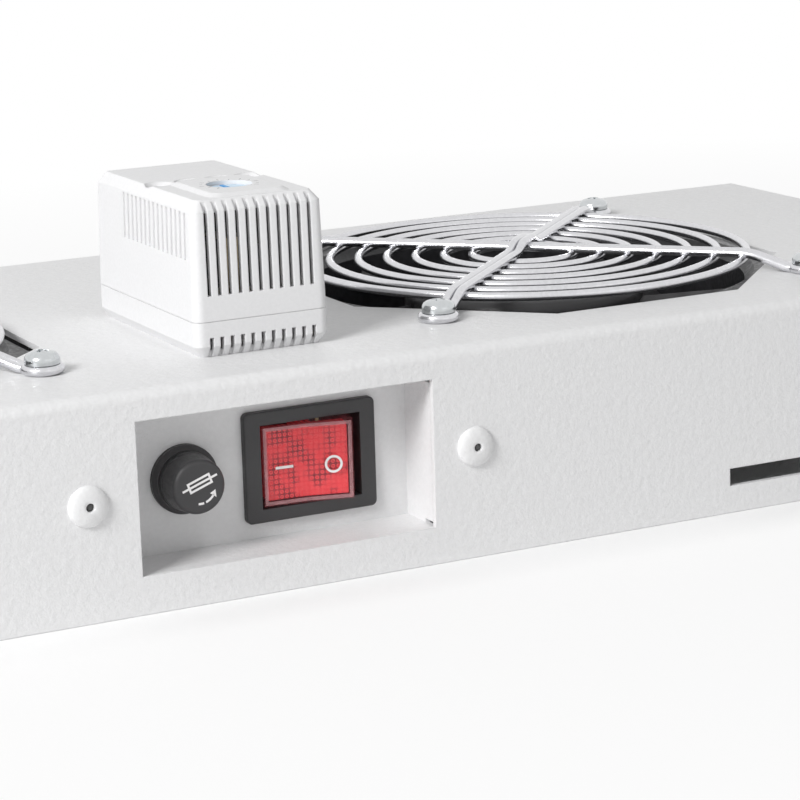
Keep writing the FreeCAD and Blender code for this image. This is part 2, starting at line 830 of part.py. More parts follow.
def fuse_link_glass():
    start = fuse_link_start + 2 * fuse_link_shell + press_gap
    end = fuse_link_start + fuse_link_length - 2 * fuse_link_shell - press_gap
    inner = fuse_glass_radius - fuse_glass_wall
    glass = turned((inner, start), (fuse_glass_radius, start), (fuse_glass_radius, end), (inner, end))
    return placed(glass, fuse_axis, BACK)


def fuse_link_caps():
    """The two end caps of the link, cups over the glass."""
    inner = fuse_link_radius - fuse_link_shell
    end = 2 * fuse_link_shell
    cup = turned((0, 0), (fuse_link_radius, 0), (fuse_link_radius, fuse_link_cap),
                 (inner, fuse_link_cap), (inner, end), (0, end))
    first = placed(cup, fuse_axis + BACK * fuse_link_start, BACK)
    last = placed(cup, fuse_axis + BACK * (fuse_link_start + fuse_link_length), FORWARD)
    return Part.makeCompound([first, last])


# ---------------------------------------------------------------- fans
def fan_frame(side):
    """The square venturi housing: two flanges, the duct, four struts and the motor base."""
    half = fan_size / 2
    outer = fan_bore_radius + fan_wall
    flange = rounded_plate(fan_size, fan_size, fan_corner_radius, fan_flange)
    duct = Part.makeCylinder(outer, fan_depth)
    body = joined([flange, placed(flange, V(0, 0, fan_depth - fan_flange)), duct])
    flare_radius = half - fan_flare_rim
    flare = Part.makeCone(fan_bore_radius, flare_radius, fan_flare)
    cuts = [Part.makeCylinder(fan_bore_radius, fan_depth + 2, V(0, 0, -1))]
    cuts.append(placed(flare, V(0, 0, fan_depth - fan_flare)))
    for sx in (-1, 1):
        for sy in (-1, 1):
            x = sx * fan_hole_square / 2
            y = sy * fan_hole_square / 2
            cuts.append(Part.makeCylinder(fan_hole_radius, fan_depth + 2, V(x, y, -1)))
    body = body.cut(cuts)
    base = Part.makeCylinder(motor_radius, motor_base_thickness)
    tube = Part.makeCylinder(bearing_tube_radius, bearing_tube_top)
    motor = joined([base, tube] + fan_struts())
    motor = motor.cut(Part.makeCylinder(bearing_radius + press_gap, bearing_tube_top, V(0, 0, bearing_floor)))
    return placed(joined([body, motor]), V(fan_x(side), fan_y, fan_floor))


def fan_struts():
    """Four struts that leave the motor base along a tangent, as the air turns."""
    reach = fan_bore_radius + fan_wall / 2
    struts = []
    for index in range(4):
        strut = box(0, math.sqrt(reach ** 2 - strut_lead ** 2), strut_lead - strut_width / 2,
                    strut_lead + strut_width / 2, 0, motor_base_thickness)
        strut.rotate(V(0, 0, 0), UP, 90 * index + strut_turn)
        struts.append(strut)
    return struts


def blade_section(radius, chord, pitch):
    """A cambered section, square to a radius that runs along +X, as a closed wire of short flats."""
    half = blade_thickness / 2
    run = math.cos(math.radians(pitch))
    rise = math.sin(math.radians(pitch))
    upper = ((-0.5, 0.3), (-0.2, 0.9), (0.2, 0.9), (0.5, 0.3))
    corners = [(share * chord, bend * blade_camber + half) for share, bend in upper]
    corners += [(share * chord, bend * blade_camber - half) for share, bend in reversed(upper)]
    points = [V(radius, along * run - off * rise, along * rise + off * run) for along, off in corners]
    return Part.makePolygon(points + points[:1])


def fan_rotor(side):
    """The impeller: a cup over the motor with swept blades."""
    hub = motor_radius - 1.0
    bend = rotor_rim * (1 - math.sqrt(0.5))
    inner = hub - rotor_wall
    ceiling = rotor_top - rotor_wall
    cup = turned((0, rotor_top), (hub - rotor_rim, rotor_top),
                 ((hub - bend, rotor_top - bend), (hub, rotor_top - rotor_rim)),
                 (hub, rotor_floor), (inner, rotor_floor), (inner, ceiling), (0, ceiling))
    tip = fan_bore_radius - blade_tip_gap
    root_section = blade_section(hub - 0.7 * rotor_wall, blade_chord_root, blade_pitch_root)
    tip_section = blade_section(tip + 1.5, blade_chord_tip, blade_pitch_tip)
    tip_section.rotate(V(0, 0, 0), UP, blade_sweep)
    blade = Part.makeLoft([root_section, tip_section], True, True)
    swept = Part.makeCylinder(tip, rotor_height + 6, V(0, 0, rotor_floor - 3))
    swept = swept.cut(Part.makeCylinder(inner, rotor_height + 8, V(0, 0, rotor_floor - 4)))
    blades = []
    for index in range(blade_count):
        copy = blade.copy()
        copy.translate(V(0, 0, rotor_floor + rotor_height / 2))
        copy.rotate(V(0, 0, 0), UP, 360 * index / blade_count + 10)
        blades.append(copy.common(swept))
    body = joined([cup] + blades)
    body = body.cut(Part.makeCylinder(shaft_radius + press_gap, rotor_wall + 4, V(0, 0, ceiling - 1)))
    return placed(body, V(fan_x(side), fan_y, fan_floor))


def fan_shaft(side):
    foot = bearing_floor + 0.9
    shaft = Part.makeCylinder(shaft_radius, rotor_top - foot, V(0, 0, foot))
    return placed(shaft, V(fan_x(side), fan_y, fan_floor))


def fan_bearings(side):
    """Two bearings in the motor tube, one at each end."""
    ring = turned((shaft_radius + running_gap, 0), (bearing_radius, 0), (bearing_radius, bearing_height),
                  (shaft_radius + running_gap, bearing_height))
    places = (bearing_floor + press_gap, bearing_tube_top - bearing_height - 0.4)
    bearings = [placed(ring, V(fan_x(side), fan_y, fan_floor + z)) for z in places]
    return Part.makeCompound(bearings)


def fan_stator(side):
    """The motor's laminated core with its poles, and the winding rings above and below it."""
    bore = bearing_tube_radius + press_gap
    core = Part.makeCylinder(stator_radius, stator_height)
    slots = []
    for index in range(4):
        half = stator_slot / 2
        slot = box(winding_radius - 6, stator_radius + 1, -half, half, -1, stator_height + 1)
        slot.rotate(V(0, 0, 0), UP, 90 * index + 45)
        slots.append(slot)
    core = core.cut(slots)
    winding = Part.makeCylinder(winding_radius, winding_height)
    stack = [core, placed(winding, V(0, 0, -winding_height)), placed(winding, V(0, 0, stator_height))]
    body = joined(stack).cut(Part.makeCylinder(bore, 60, V(0, 0, -20)))
    floor = motor_base_thickness + winding_height + 0.2
    return placed(body, V(fan_x(side), fan_y, fan_floor + floor))


# ---------------------------------------------------------------- finger guards
def wire_section(centre, along):
    """A six-sided section of the guard's wire with level flats, square to a direction that it runs along."""
    across = UP.cross(along).normalize()
    over = along.cross(across).normalize()
    corners = []
    for index in range(7):
        angle = math.radians(60 * index)
        corner = across * math.cos(angle) + over * math.sin(angle)
        corners.append(centre + corner * (wire / 2 / math.cos(math.radians(30))))
    return Part.makePolygon(corners)


def wire_ring(radius, z):
    """A ring of the guard's wire, bent in short straight steps that hardly leave the circle."""
    steps = max(8, 2 * round(1.7 * math.sqrt(radius)))
    corners = []
    for index in range(steps + 1):
        angle = 2 * math.pi * index / steps
        corners.append(V(radius * math.cos(angle), radius * math.sin(angle), z))
    start = (corners[0] + corners[1]) * 0.5
    route = [start] + corners[1:] + [start]
    section = wire_section(start, corners[1] - corners[0])
    return Part.makePolygon(route).makePipeShell([section], True, True, 1)


def guard_arm(hop):
    """One diagonal arm: two wires side by side that bend down to an eyelet at each end."""
    ring_z = guard_ring_lift
    run_z = ring_z + wire - guard_weld
    low_z = wire / 2
    end = fan_hole_square / math.sqrt(2) - eyelet_radius
    knee = guard_outer_radius + guard_knee
    hop_z = run_z + hop
    foot = fan_hole_square / math.sqrt(2) - m4_head_radius - guard_foot
    half = [(end, low_z), (foot, low_z), (knee, run_z), (4 * wire, run_z), (2.1 * wire, hop_z)]
    route = half + [(-r, z) for r, z in reversed(half)]
    wires = []
    for side in (-1, 1):
        y = side * guard_arm_pair / 2
        points = [V(r, y, z) for r, z in route]
        if hop == 0:
            points = points[:3] + points[-3:]
        path = Part.makePolygon(points)
        section = wire_section(points[0], points[1] - points[0])
        wires.append(path.makePipeShell([section], True, True, 1))
    eyelets = []
    for side in (-1, 1):
        x = side * fan_hole_square / math.sqrt(2)
        eyelets.append(placed(wire_ring(eyelet_radius, 0), V(x, 0, low_z)))
    return joined(wires + eyelets)


def guard(side):
    rings = [wire_ring(guard_outer_radius - guard_ring_pitch * index, guard_ring_lift)
             for index in range(guard_rings)]
    under_arm = guard_arm(0)
    under_arm.rotate(V(0, 0, 0), UP, -45)
    over_arm = guard_arm(wire - guard_weld)
    over_arm.rotate(V(0, 0, 0), UP, 45)
    grille = joined(rings + [under_arm, over_arm])
    return placed(grille, V(fan_x(side), fan_y, top))


def guard_screws(side):
    screw = pan_screw(m4_radius, m4_head_radius, m4_head_height, m4_length)
    return Part.makeCompound([placed(screw, place + UP * (wire + press_gap)) for place in fan_corners(side)])


def guard_nuts(side):
    drop = sheet + fan_flange + press_gap
    ring = nut(m4_nut_flats, m4_nut_height, m4_radius + press_gap)
    return Part.makeCompound([placed(ring, place + DOWN * drop, DOWN) for place in fan_corners(side)])


# ---------------------------------------------------------------- thermostat
def thermo_centre(z):
    return V(thermo_x, thermo_front + thermo_length / 2, z)


def slot_row(count, pitch):
    return [pitch * (index - (count - 1) / 2) for index in range(count)]


def tapered_shell(sections):
    """A solid through rounded rectangles given as (inset, height)."""
    wires = []
    for inset, z in sections:
        corner = max(thermo_corner - inset / 2, 0.6)
        wires.append(rounded_rectangle(thermo_width - 2 * inset, thermo_length - 2 * inset, corner, z))
    return Part.makeLoft(wires, True, True)


def thermostat_base():
    """The lower tray of the thermostat: a floor, low walls with foot vents and two screw bosses."""
    seam = thermo_base_height
    outer = tapered_shell([(thermo_foot_chamfer * 0.7, 0), (0, thermo_foot_chamfer), (0, seam)])
    hollow = tapered_shell([(thermo_wall, thermo_wall), (thermo_wall, seam + 1)])
    base = outer.cut(hollow)
    bosses = []
    cuts = []
    for place in thermo_screw_places():
        y = place.y - thermo_centre(0).y
        bosses.append(drilled(V(0, y, 0), UP, thermo_boss_radius, thermo_boss_height))
        cuts.append(drilled(V(0, y, -1), UP, m3_radius + press_gap, thermo_boss_height))
    base = joined([base] + bosses)
    half = thermo_length / 2
    for x in slot_row(thermo_slots, thermo_slot_pitch):
        for end in (-1, 1):
            y0, y1 = sorted((end * (half - thermo_wall - 0.4), end * (half + 1)))
            cuts.append(box(x - thermo_slot_width / 2, x + thermo_slot_width / 2, y0, y1,
                            -1, thermo_foot_slot_height))
    cuts.append(drilled(V(0, grommet_setback - half, -1), UP, grommet_flange_radius + panel_gap, 4))
    return placed(base.cut(cuts), thermo_centre(top))


def cover_cuts():
    """Vent slots and side grooves of the cover, in its own frame: the centre of its foot print."""
    half = thermo_length / 2
    cuts = []
    for x in slot_row(thermo_slots, thermo_slot_pitch):
        for end in (-1, 1):
            y0, y1 = sorted((end * (half - thermo_chamfer + 0.2), end * (half + 1)))
            cuts.append(box(x - thermo_slot_width / 2, x + thermo_slot_width / 2, y0, y1,
                            thermo_slot_floor, thermo_roof + 0.5))
    first = -half + side_slot_start + side_slot_width
    groove_top = thermo_roof - thermo_chamfer - side_slot_width / 2
    groove_floor = thermo_width / 2 - thermo_draft - side_slot_depth
    for index in range(side_slots):
        y = first + side_slot_pitch * index
        for side in (-1, 1):
            x0, x1 = sorted((side * groove_floor, side * (thermo_width / 2 + 1)))
            cuts.append(box(x0, x1, y - side_slot_width / 2, y + side_slot_width / 2,
                            groove_top - side_slot_length, groove_top))
    return cuts


def thermostat_cover():
    """The upper shell with its vent slots, raised dial plateau and terminal openings."""
    seam = thermo_base_height + press_gap
    shoulder = thermo_roof - thermo_chamfer
    slope = thermo_draft + 0.8 * thermo_chamfer
    wall = thermo_wall
    outer = tapered_shell([(0, seam), (thermo_draft, shoulder), (slope, thermo_roof)])
    inner = tapered_shell([(wall, seam - 1), (thermo_draft + wall, shoulder - 0.4 * wall),
                           (slope + 0.7 * wall, thermo_roof - wall)])
    foot = rounded_rectangle(plateau_width, plateau_length, plateau_corner, thermo_roof - 0.2)
    crown = rounded_rectangle(plateau_width - 2 * plateau_slope, plateau_length - 2 * plateau_slope,
                              0.8 * plateau_corner, thermo_height)
    plateau = Part.makeLoft([foot, crown], True, True)
    dial_y = dial_setback - thermo_length / 2
    plateau.translate(V(0, dial_y, 0))
    cover = joined([outer, plateau]).cut([inner] + cover_cuts())
    pocket = drilled(V(0, dial_y, thermo_height - dial_depth), UP, dial_radius + panel_gap, dial_depth + 1)
    shaft_hole = drilled(V(0, dial_y, thermo_roof - wall - 1), UP, dial_shaft_radius + running_gap, wall + 3)
    cuts = [pocket, shaft_hole]
    for x in slot_row(terminal_count, terminal_pitch):
        y = terminal_setback - thermo_length / 2
        cuts.append(Part.makeCone(terminal_hole_radius, terminal_hole_radius + wall, wall,
                                  V(x, y, thermo_roof - wall)))
    return placed(cover.cut(cuts), thermo_centre(top))


def thermostat_dial():
    """The setting dial: a disc with a screwdriver slot across it, on a shaft with a collar inside."""
    floor = thermo_height - dial_depth + press_gap
    face = floor + dial_thickness
    foot = thermo_roof - thermo_wall - panel_gap - dial_collar_height
    disc = drilled(V(0, 0, floor), UP, dial_radius, dial_thickness)
    half = dial_slot_width / 2
    slot = box(-half, half, -dial_radius - 1, dial_radius + 1, face - dial_slot_depth, face + 1)
    shaft = drilled(V(0, 0, foot), UP, dial_shaft_radius, floor - foot + dial_thickness / 4)
    collar = drilled(V(0, 0, foot), UP, dial_shaft_radius + dial_collar_lap, dial_collar_height)
    dial = joined([disc, shaft, collar]).cut(slot)
    return placed(dial, V(thermo_x, dial_centre.y, top))


def terminal_screw_seat():
    """Height of the terminal block's upper face above the tray's top."""
    return thermo_roof - thermo_wall - terminal_gap


def thermostat_terminals():
    """The insulating block below the terminal openings, on a foot that stands on the base."""
    seat = terminal_screw_seat()
    floor = seat - terminal_block_height
    width = thermo_width - 2 * (thermo_wall + thermo_draft + running_gap + 1)
    y = terminal_setback - thermo_length / 2
    depth = terminal_block_depth / 2
    foot_depth = terminal_foot_depth / 2
    block = box(-width / 2, width / 2, y - depth, y + depth, floor, seat)
    foot = box(-width / 2 + 2, width / 2 - 2, y - foot_depth, y + foot_depth, thermo_wall + press_gap, floor + 1)
    clamp = terminal_clamp_width / 2
    cuts = []
    for x in slot_row(terminal_count, terminal_pitch):
        cuts.append(drilled(V(x, y, seat - 7), UP, m3_radius + press_gap, 8))
        cuts.append(box(x - clamp, x + clamp, y, y + depth + 1, seat - 6, seat - 6 + terminal_clamp_height))
    return placed(joined([block, foot]).cut(cuts), thermo_centre(top))


def thermostat_terminal_screws():
    screw = pan_screw(m3_radius, 0.85 * m3_head_radius, 0.75 * m3_head_height, 6.5)
    y = terminal_setback - thermo_length / 2
    z = terminal_screw_seat() + press_gap
    screws = [placed(screw, thermo_centre(top) + V(x, y, z)) for x in slot_row(terminal_count, terminal_pitch)]
    return Part.makeCompound(screws)


def thermostat_bimetal():
    """The bimetal strip: clamped at its post behind the front vents, bent back below the dial."""
    width = bimetal_width / 2
    post_width = bimetal_post_width / 2
    y = thermo_screw_inset + thermo_boss_radius + bimetal_post_gap - thermo_length / 2
    post = box(-post_width, post_width, y, y + bimetal_post_gap, thermo_wall + press_gap, bimetal_post_height)
    rise = box(-width, width, y - bimetal_sheet, y, bimetal_post_height / 2, bimetal_height)
    run_floor = bimetal_height - bimetal_sheet
    run = box(-width, width, y - bimetal_sheet, y + bimetal_reach, run_floor, bimetal_height)
    return placed(joined([post, rise, run]), thermo_centre(top))


def thermostat_screws():
    screw = pan_screw(m3_radius, m3_head_radius, m3_head_height, sheet + thermo_boss_height - 1.6)
    return Part.makeCompound([placed(screw, place, DOWN) for place in thermo_screw_places()])


def cable_grommet():
    """A rubber ring that seats in the tray's cable hole below the thermostat."""
    lift = grommet_flange
    neck = grommet_hole_radius - press_gap
    rim = grommet_flange_radius - grommet_chamfer
    ring = turned((grommet_bore_radius, -lift), (rim, -lift), (grommet_flange_radius, -press_gap),
                  (neck, -press_gap), (neck, sheet + press_gap), (grommet_flange_radius, sheet + press_gap),
                  (rim, sheet + lift), (grommet_bore_radius, sheet + lift))
    return placed(ring, V(thermo_x, thermo_front + grommet_setback, under))


# ---------------------------------------------------------------- mains inlet
def inlet_body():
    """The appliance inlet: a screwed flange, a body through the wall and the plug's mouth."""
    plate = rounded_plate(inlet_flange_width, inlet_flange_tall, inlet_flange_corner, inlet_flange_thickness)
    flange = upright(plate, inlet_x, rear + inlet_flange_thickness, inlet_z)
    body = upright(rounded_plate(inlet_body_width, inlet_body_tall, inlet_corner, inlet_body_depth + 1),
                   inlet_x, rear + 1, inlet_z)
    mouth = upright(rounded_plate(inlet_mouth_width, inlet_mouth_tall, 0.8 * inlet_corner, inlet_mouth_depth),
                    inlet_x, rear + inlet_flange_thickness, inlet_z)
    cuts = [mouth]
    for place in inlet_screw_places():
        cuts.append(drilled(place + BACK, FORWARD, m3_radius + hole_gap, inlet_flange_thickness + 2))
    for x, z in inlet_pin_places():
        half_w = inlet_pin_width / 2 + press_gap
        half_t = inlet_pin_tall / 2 + press_gap
        cuts.append(box(x - half_w, x + half_w, rear - inlet_body_depth - 1, rear, z - half_t, z + half_t))
    return flange.fuse(body).removeSplitter().cut(cuts)


def inlet_pin_places():
    live = [(inlet_x + side * inlet_pin_spacing / 2, inlet_z - inlet_earth_rise / 2) for side in (-1, 1)]
    return live + [(inlet_x, inlet_z + inlet_earth_rise / 2)]


def inlet_pins():
    """Three flat pins with their solder tabs inside the tray."""
    tip = rear + inlet_flange_thickness - inlet_pin_setback
    root = rear - inlet_body_depth - inlet_tab_reach
    pins = []
    for x, z in inlet_pin_places():
        pins.append(box(x - inlet_pin_width / 2, x + inlet_pin_width / 2, root, tip,
                        z - inlet_pin_tall / 2, z + inlet_pin_tall / 2))
    return Part.makeCompound(pins)


def inlet_screws():
    length = inlet_flange_thickness + sheet + m3_nut_height + 2
    screw = pan_screw(m3_radius, m3_head_radius, m3_head_height, length)
    return Part.makeCompound([placed(screw, place, BACK) for place in inlet_screw_places()])


def inlet_nuts():
    depth = inlet_flange_thickness + sheet
    ring = nut(m3_nut_flats, m3_nut_height, m3_radius + press_gap)
    return Part.makeCompound([placed(ring, place + FORWARD * depth, FORWARD) for place in inlet_screw_places()])


# ---------------------------------------------------------------- wiring hardware
def block_screw_places():
    """The grub screws of the terminal block, two per pole, in the block's own frame."""
    reach = block_length / 2 - block_screw_inset
    return [(x, y) for x in slot_row(block_poles, block_pole_pitch) for y in (-reach, reach)]


def terminal_block():
    """A screw terminal block on the studs under the top plate, one collar per pole."""
    half = block_length / 2
    reach = block_width / 2 + block_ear
    parts = [box(-reach, reach, -block_web_width / 2, block_web_width / 2, -block_web, 0)]
    cuts = []
    for x in slot_row(block_poles, block_pole_pitch):
        side = block_pole_width / 2
        entry = V(x, -half - 1, block_entry_rise - block_web)
        parts.append(box(x - side, x + side, -half, half, -block_pole_height, 0))
        cuts.append(drilled(entry, BACK, block_entry_radius, block_length + 2))
    for x, y in block_screw_places():
        depth = block_screw_sink + block_screw_length + 0.3
        cuts.append(drilled(V(x, y, -block_pole_height - 1), UP, block_screw_radius + press_gap, depth + 1))
    for x in block_stud_places():
        cuts.append(drilled(V(x, 0, -block_web - 1), UP, m3_radius + press_gap, block_web + 2))
    return placed(joined(parts).cut(cuts), V(0, block_y, under))


def terminal_block_screws():
    """Slotted grub screws in the terminal block, two per pole."""
    half = block_screw_slot / 2
    slot = box(-block_screw_radius - 1, block_screw_radius + 1, -half, half, -1, block_screw_sink)
    grub = drilled(V(0, 0, 0), UP, block_screw_radius, block_screw_length).cut(slot)
    z = under - block_pole_height + block_screw_sink
    return Part.makeCompound([placed(grub, V(x, block_y + y, z)) for x, y in block_screw_places()])


def terminal_block_nuts():
    ring = nut(m3_nut_flats, m3_nut_height, m3_radius + press_gap)
    places = [V(x, block_y, under - block_web) for x in block_stud_places()]
    return Part.makeCompound([placed(ring, place, DOWN) for place in places])


def earth_nut():
    """The washer and the nut on the earth stud."""
    seat = V(earth_x, rear - earth_setback, under)
    washer = turned((m4_radius + press_gap, 0), (washer_radius, 0), (washer_radius, washer_thickness),
                    (m4_radius + press_gap, washer_thickness))
    ring = nut(m4_nut_flats, m4_nut_height, m4_radius + press_gap)
    return Part.makeCompound([placed(washer, seat, DOWN), placed(ring, seat + DOWN * washer_thickness, DOWN)])


# ---------------------------------------------------------------- the assembly
def assembly():
    nodes = {
        "tray_shell": tray_shell(), "ear_left": ear(-1), "ear_right": ear(1), "ear_rivets": ear_rivets(),
        "recess_box": recess_box(), "recess_rivets": recess_rivets(),
        "switch_housing": switch_housing(), "switch_rocker": switch_rocker(), "switch_core": switch_core(),
        "switch_terminals": switch_terminals(), "switch_lamp": switch_lamp(),
        "fuse_holder_body": fuse_holder_body(), "fuse_holder_nut": fuse_holder_nut(),
        "fuse_holder_terminals": fuse_holder_terminals(), "fuse_cap": fuse_cap(),
        "fuse_link_glass": fuse_link_glass(), "fuse_link_caps": fuse_link_caps(),
        "thermostat_base": thermostat_base(), "thermostat_cover": thermostat_cover(),
        "thermostat_dial": thermostat_dial(), "thermostat_terminals": thermostat_terminals(),
        "thermostat_terminal_screws": thermostat_terminal_screws(),
        "thermostat_bimetal": thermostat_bimetal(), "thermostat_screws": thermostat_screws(),
        "cable_grommet": cable_grommet(),
        "inlet_body": inlet_body(), "inlet_pins": inlet_pins(), "inlet_screws": inlet_screws(),
        "inlet_nuts": inlet_nuts(),
        "terminal_block": terminal_block(), "terminal_block_screws": terminal_block_screws(),
        "terminal_block_nuts": terminal_block_nuts(), "earth_nut": earth_nut(),
    }
    for name, side in SIDES.items():
        nodes["fan_frame_" + name] = fan_frame(side)
        nodes["fan_rotor_" + name] = fan_rotor(side)
        nodes["fan_shaft_" + name] = fan_shaft(side)
        nodes["fan_bearings_" + name] = fan_bearings(side)
        nodes["fan_stator_" + name] = fan_stator(side)
        nodes["guard_" + name] = guard(side)
        nodes["guard_screws_" + name] = guard_screws(side)
        nodes["guard_nuts_" + name] = guard_nuts(side)
    return nodes


os.makedirs("parts", exist_ok=True)
for node_name, node_shape in assembly().items():
    node_shape.exportStep("parts/" + node_name + ".step")
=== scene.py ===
import json
import math

import bmesh
import bpy
from mathutils import Matrix, Vector


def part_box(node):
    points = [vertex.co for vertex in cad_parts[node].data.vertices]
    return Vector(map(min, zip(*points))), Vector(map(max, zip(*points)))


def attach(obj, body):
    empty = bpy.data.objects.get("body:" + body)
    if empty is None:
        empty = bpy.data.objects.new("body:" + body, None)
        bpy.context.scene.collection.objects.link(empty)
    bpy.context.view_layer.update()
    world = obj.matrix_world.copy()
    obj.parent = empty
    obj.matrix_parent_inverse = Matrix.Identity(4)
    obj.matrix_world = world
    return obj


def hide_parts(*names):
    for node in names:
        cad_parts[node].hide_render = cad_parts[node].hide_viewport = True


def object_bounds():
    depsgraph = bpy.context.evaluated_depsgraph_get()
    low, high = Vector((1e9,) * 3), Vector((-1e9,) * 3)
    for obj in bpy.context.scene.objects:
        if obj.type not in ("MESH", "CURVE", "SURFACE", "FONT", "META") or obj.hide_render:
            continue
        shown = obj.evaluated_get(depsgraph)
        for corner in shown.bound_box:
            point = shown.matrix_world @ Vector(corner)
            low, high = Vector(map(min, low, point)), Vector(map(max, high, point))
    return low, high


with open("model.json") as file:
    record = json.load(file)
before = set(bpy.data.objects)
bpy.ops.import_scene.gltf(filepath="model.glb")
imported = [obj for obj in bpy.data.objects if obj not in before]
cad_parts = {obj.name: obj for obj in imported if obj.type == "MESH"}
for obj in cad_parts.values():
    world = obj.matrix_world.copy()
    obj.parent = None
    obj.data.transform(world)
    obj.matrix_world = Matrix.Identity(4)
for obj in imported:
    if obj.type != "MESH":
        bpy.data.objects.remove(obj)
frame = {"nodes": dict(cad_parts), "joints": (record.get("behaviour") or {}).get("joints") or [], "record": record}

# Looks of a rack fan tray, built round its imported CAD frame. Lengths are in metres.
cad_low, cad_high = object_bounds()
MM = 0.001
NODES = frame["nodes"]
UP = Vector((0, 0, 1))
SIDES = ("left", "right")
CORNERS = ((-1, -1), (1, -1), (1, 1), (-1, 1))

# ---------------------------------------------------------------- driving values
# Finger guards: rings of wire, two crossing arms of paired wires, an eyelet at each arm's end.
WIRE = 2.2 * MM
GUARD_RINGS = 7
GUARD_PITCH = 7.4 * MM
GUARD_OUTER = 57.6 * MM
GUARD_RING_LIFT = 2.6 * MM
GUARD_ARM_PAIR = 2.3 * MM
GUARD_ARMS = (-45, 45)
GUARD_WELD = 0.35 * MM
GUARD_EYELET = 3.1 * MM
GUARD_EYELET_WIRE_SHARE = 0.2
GUARD_EYELET_LAP = 0.55 * MM
GUARD_FOOT_GAP = 1.2 * MM
GUARD_SLOPE_RUN = 2 * MM
GUARD_HOP_START = 9 * MM
GUARD_HOP_END = 4.6 * MM
GUARD_BEND = 3 * MM
RING_FACETS = 96
EYELET_FACETS = 40

# Pan head screws. The rim's sizes are shares of the head's height or of the rim itself.
SCREW_SQUARE = 105.0 * MM
M4_HEAD = 4.0 * MM
M4_HEAD_HEIGHT = 3.1 * MM
M4_SHANK = 2.0 * MM
SCREW_TIP = 0.3 * MM
SCREW_FIRST_TURN = 57
SCREW_TURN_STEP = 37
PAN_RIM = 0.38
PAN_SIDE_DROP = 2.2
PAN_ARC_RADIUS = 1.55
PAN_ARC_DROP = 1.95
PAN_ARC_FROM = 5
PAN_ARC_TO = 68
PAN_ARC_STEPS = 8
PAN_CROWN_STEPS = 6

# Cross recess: length and width as shares of the head's radius, depth as a share of its height,
# then the shares of length and width that are left at its floor and at the punch's upper end.
CROSS_LENGTH = 0.5
CROSS_WIDTH = 0.24
CROSS_DEPTH = 0.55
CROSS_FLOOR = (0.35, 0.42)
CROSS_MOUTH = (1.4, 0.58)

# Blind rivets beside the recess, with the broken mandrel in the bore; the mandrel is a real part, coloured
# near-black as painted shade in the bore.
RIVET_RADIUS = 4.65 * MM
RIVET_HEIGHT = 1.7 * MM
RIVET_BORE = 0.95 * MM
RIVET_EDGE = 0.18 * MM
RIVET_SHANK = 2 * MM
RIVET_SHANK_LENGTH = 2.6 * MM
RIVET_LIP = 1.35
RIVET_LIP_DROP = 0.15 * MM
RIVET_BORE_FLOOR = 0.45 * MM
RIVET_DOME_STEPS = 12
MANDREL_FOOT = 0.46 * MM
MANDREL_WIDE = 0.97
MANDREL_SHOULDER = 0.8 * MM
MANDREL_NARROW = 0.62
MANDREL_EDGE = 1.15 * MM
MANDREL_TIP = 1.25 * MM
TURNED_EDGE = 50

# Rocker: swing between its rests, half its width, face and dish measured from the pivot.
ROCKER_SWING = math.radians(20.0)
ROCKER_HALF = 10.74 * MM
ROCKER_FACE = 8.8 * MM
ROCKER_DISH = 1.0 * MM
RIM_OUTSIDE = 0.45 * MM
RIM_INSIDE = 1.25 * MM
RIM_RISE = 0.12 * MM
RIM_STEPS = 12
MARK_RISE = 0.05 * MM

# Thermostat dial: scale on the cover, pointer in the slot of the disc.
DIAL_FROM = -135
DIAL_TO = 135
DIAL_TICKS = 13
TICK_NEAR = 6.1 * MM
TICK_FAR_LONG = 7.3 * MM
TICK_FAR_SHORT = 6.8 * MM
TICK_HALF_WIDTH = 0.11 * MM
TICK_SUNK = 0.028 * MM
TICK_THICKNESS = 0.03 * MM
POINTER_HALF_WIDTH = 0.42 * MM
POINTER_HALF_LENGTH = 3.6 * MM
POINTER_OFFSET = 1.0 * MM
POINTER_SUNK = 0.38 * MM
POINTER_THICKNESS = 0.46 * MM

# ---------------------------------------------------------------- helpers
STEEP = 0.9
CORNER_SHARE = 0.45
ON_AXIS = 1e-9


def mean(a, b):
    return (a + b) / 2


def node_middle(name):
    low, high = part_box(name)
    return mean(low, high)


def joint(name):
    return next(j for j in frame["joints"] if j["name"] == name)


def mesh_object(name, build, smooth=True):
    """A mesh piece whose geometry is made by build(bm)."""
    mesh = bpy.data.meshes.new(name)
    bm = bmesh.new()
    build(bm)
    bmesh.ops.recalc_face_normals(bm, faces=bm.faces)
    for face in bm.faces:
        face.smooth = smooth
    bm.to_mesh(mesh)
    bm.free()
    piece = bpy.data.objects.new(name, mesh)
    bpy.context.scene.collection.objects.link(piece)
    return piece


def sharpen(piece, degrees=35):
    """Keeps edges sharper than an angle crisp on a smooth-shaded mesh."""
    bm = bmesh.new()
    bm.from_mesh(piece.data)
    limit = math.radians(degrees)
    for edge in bm.edges:
        edge.smooth = len(edge.link_faces) != 2 or edge.calc_face_angle(0) < limit
    bm.to_mesh(piece.data)
    bm.free()
    return piece


def finish_piece(piece, material, body, replaced=()):
    piece.data.materials.append(material)
    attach(piece, body)
    if replaced:
        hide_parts(*replaced)
    return piece


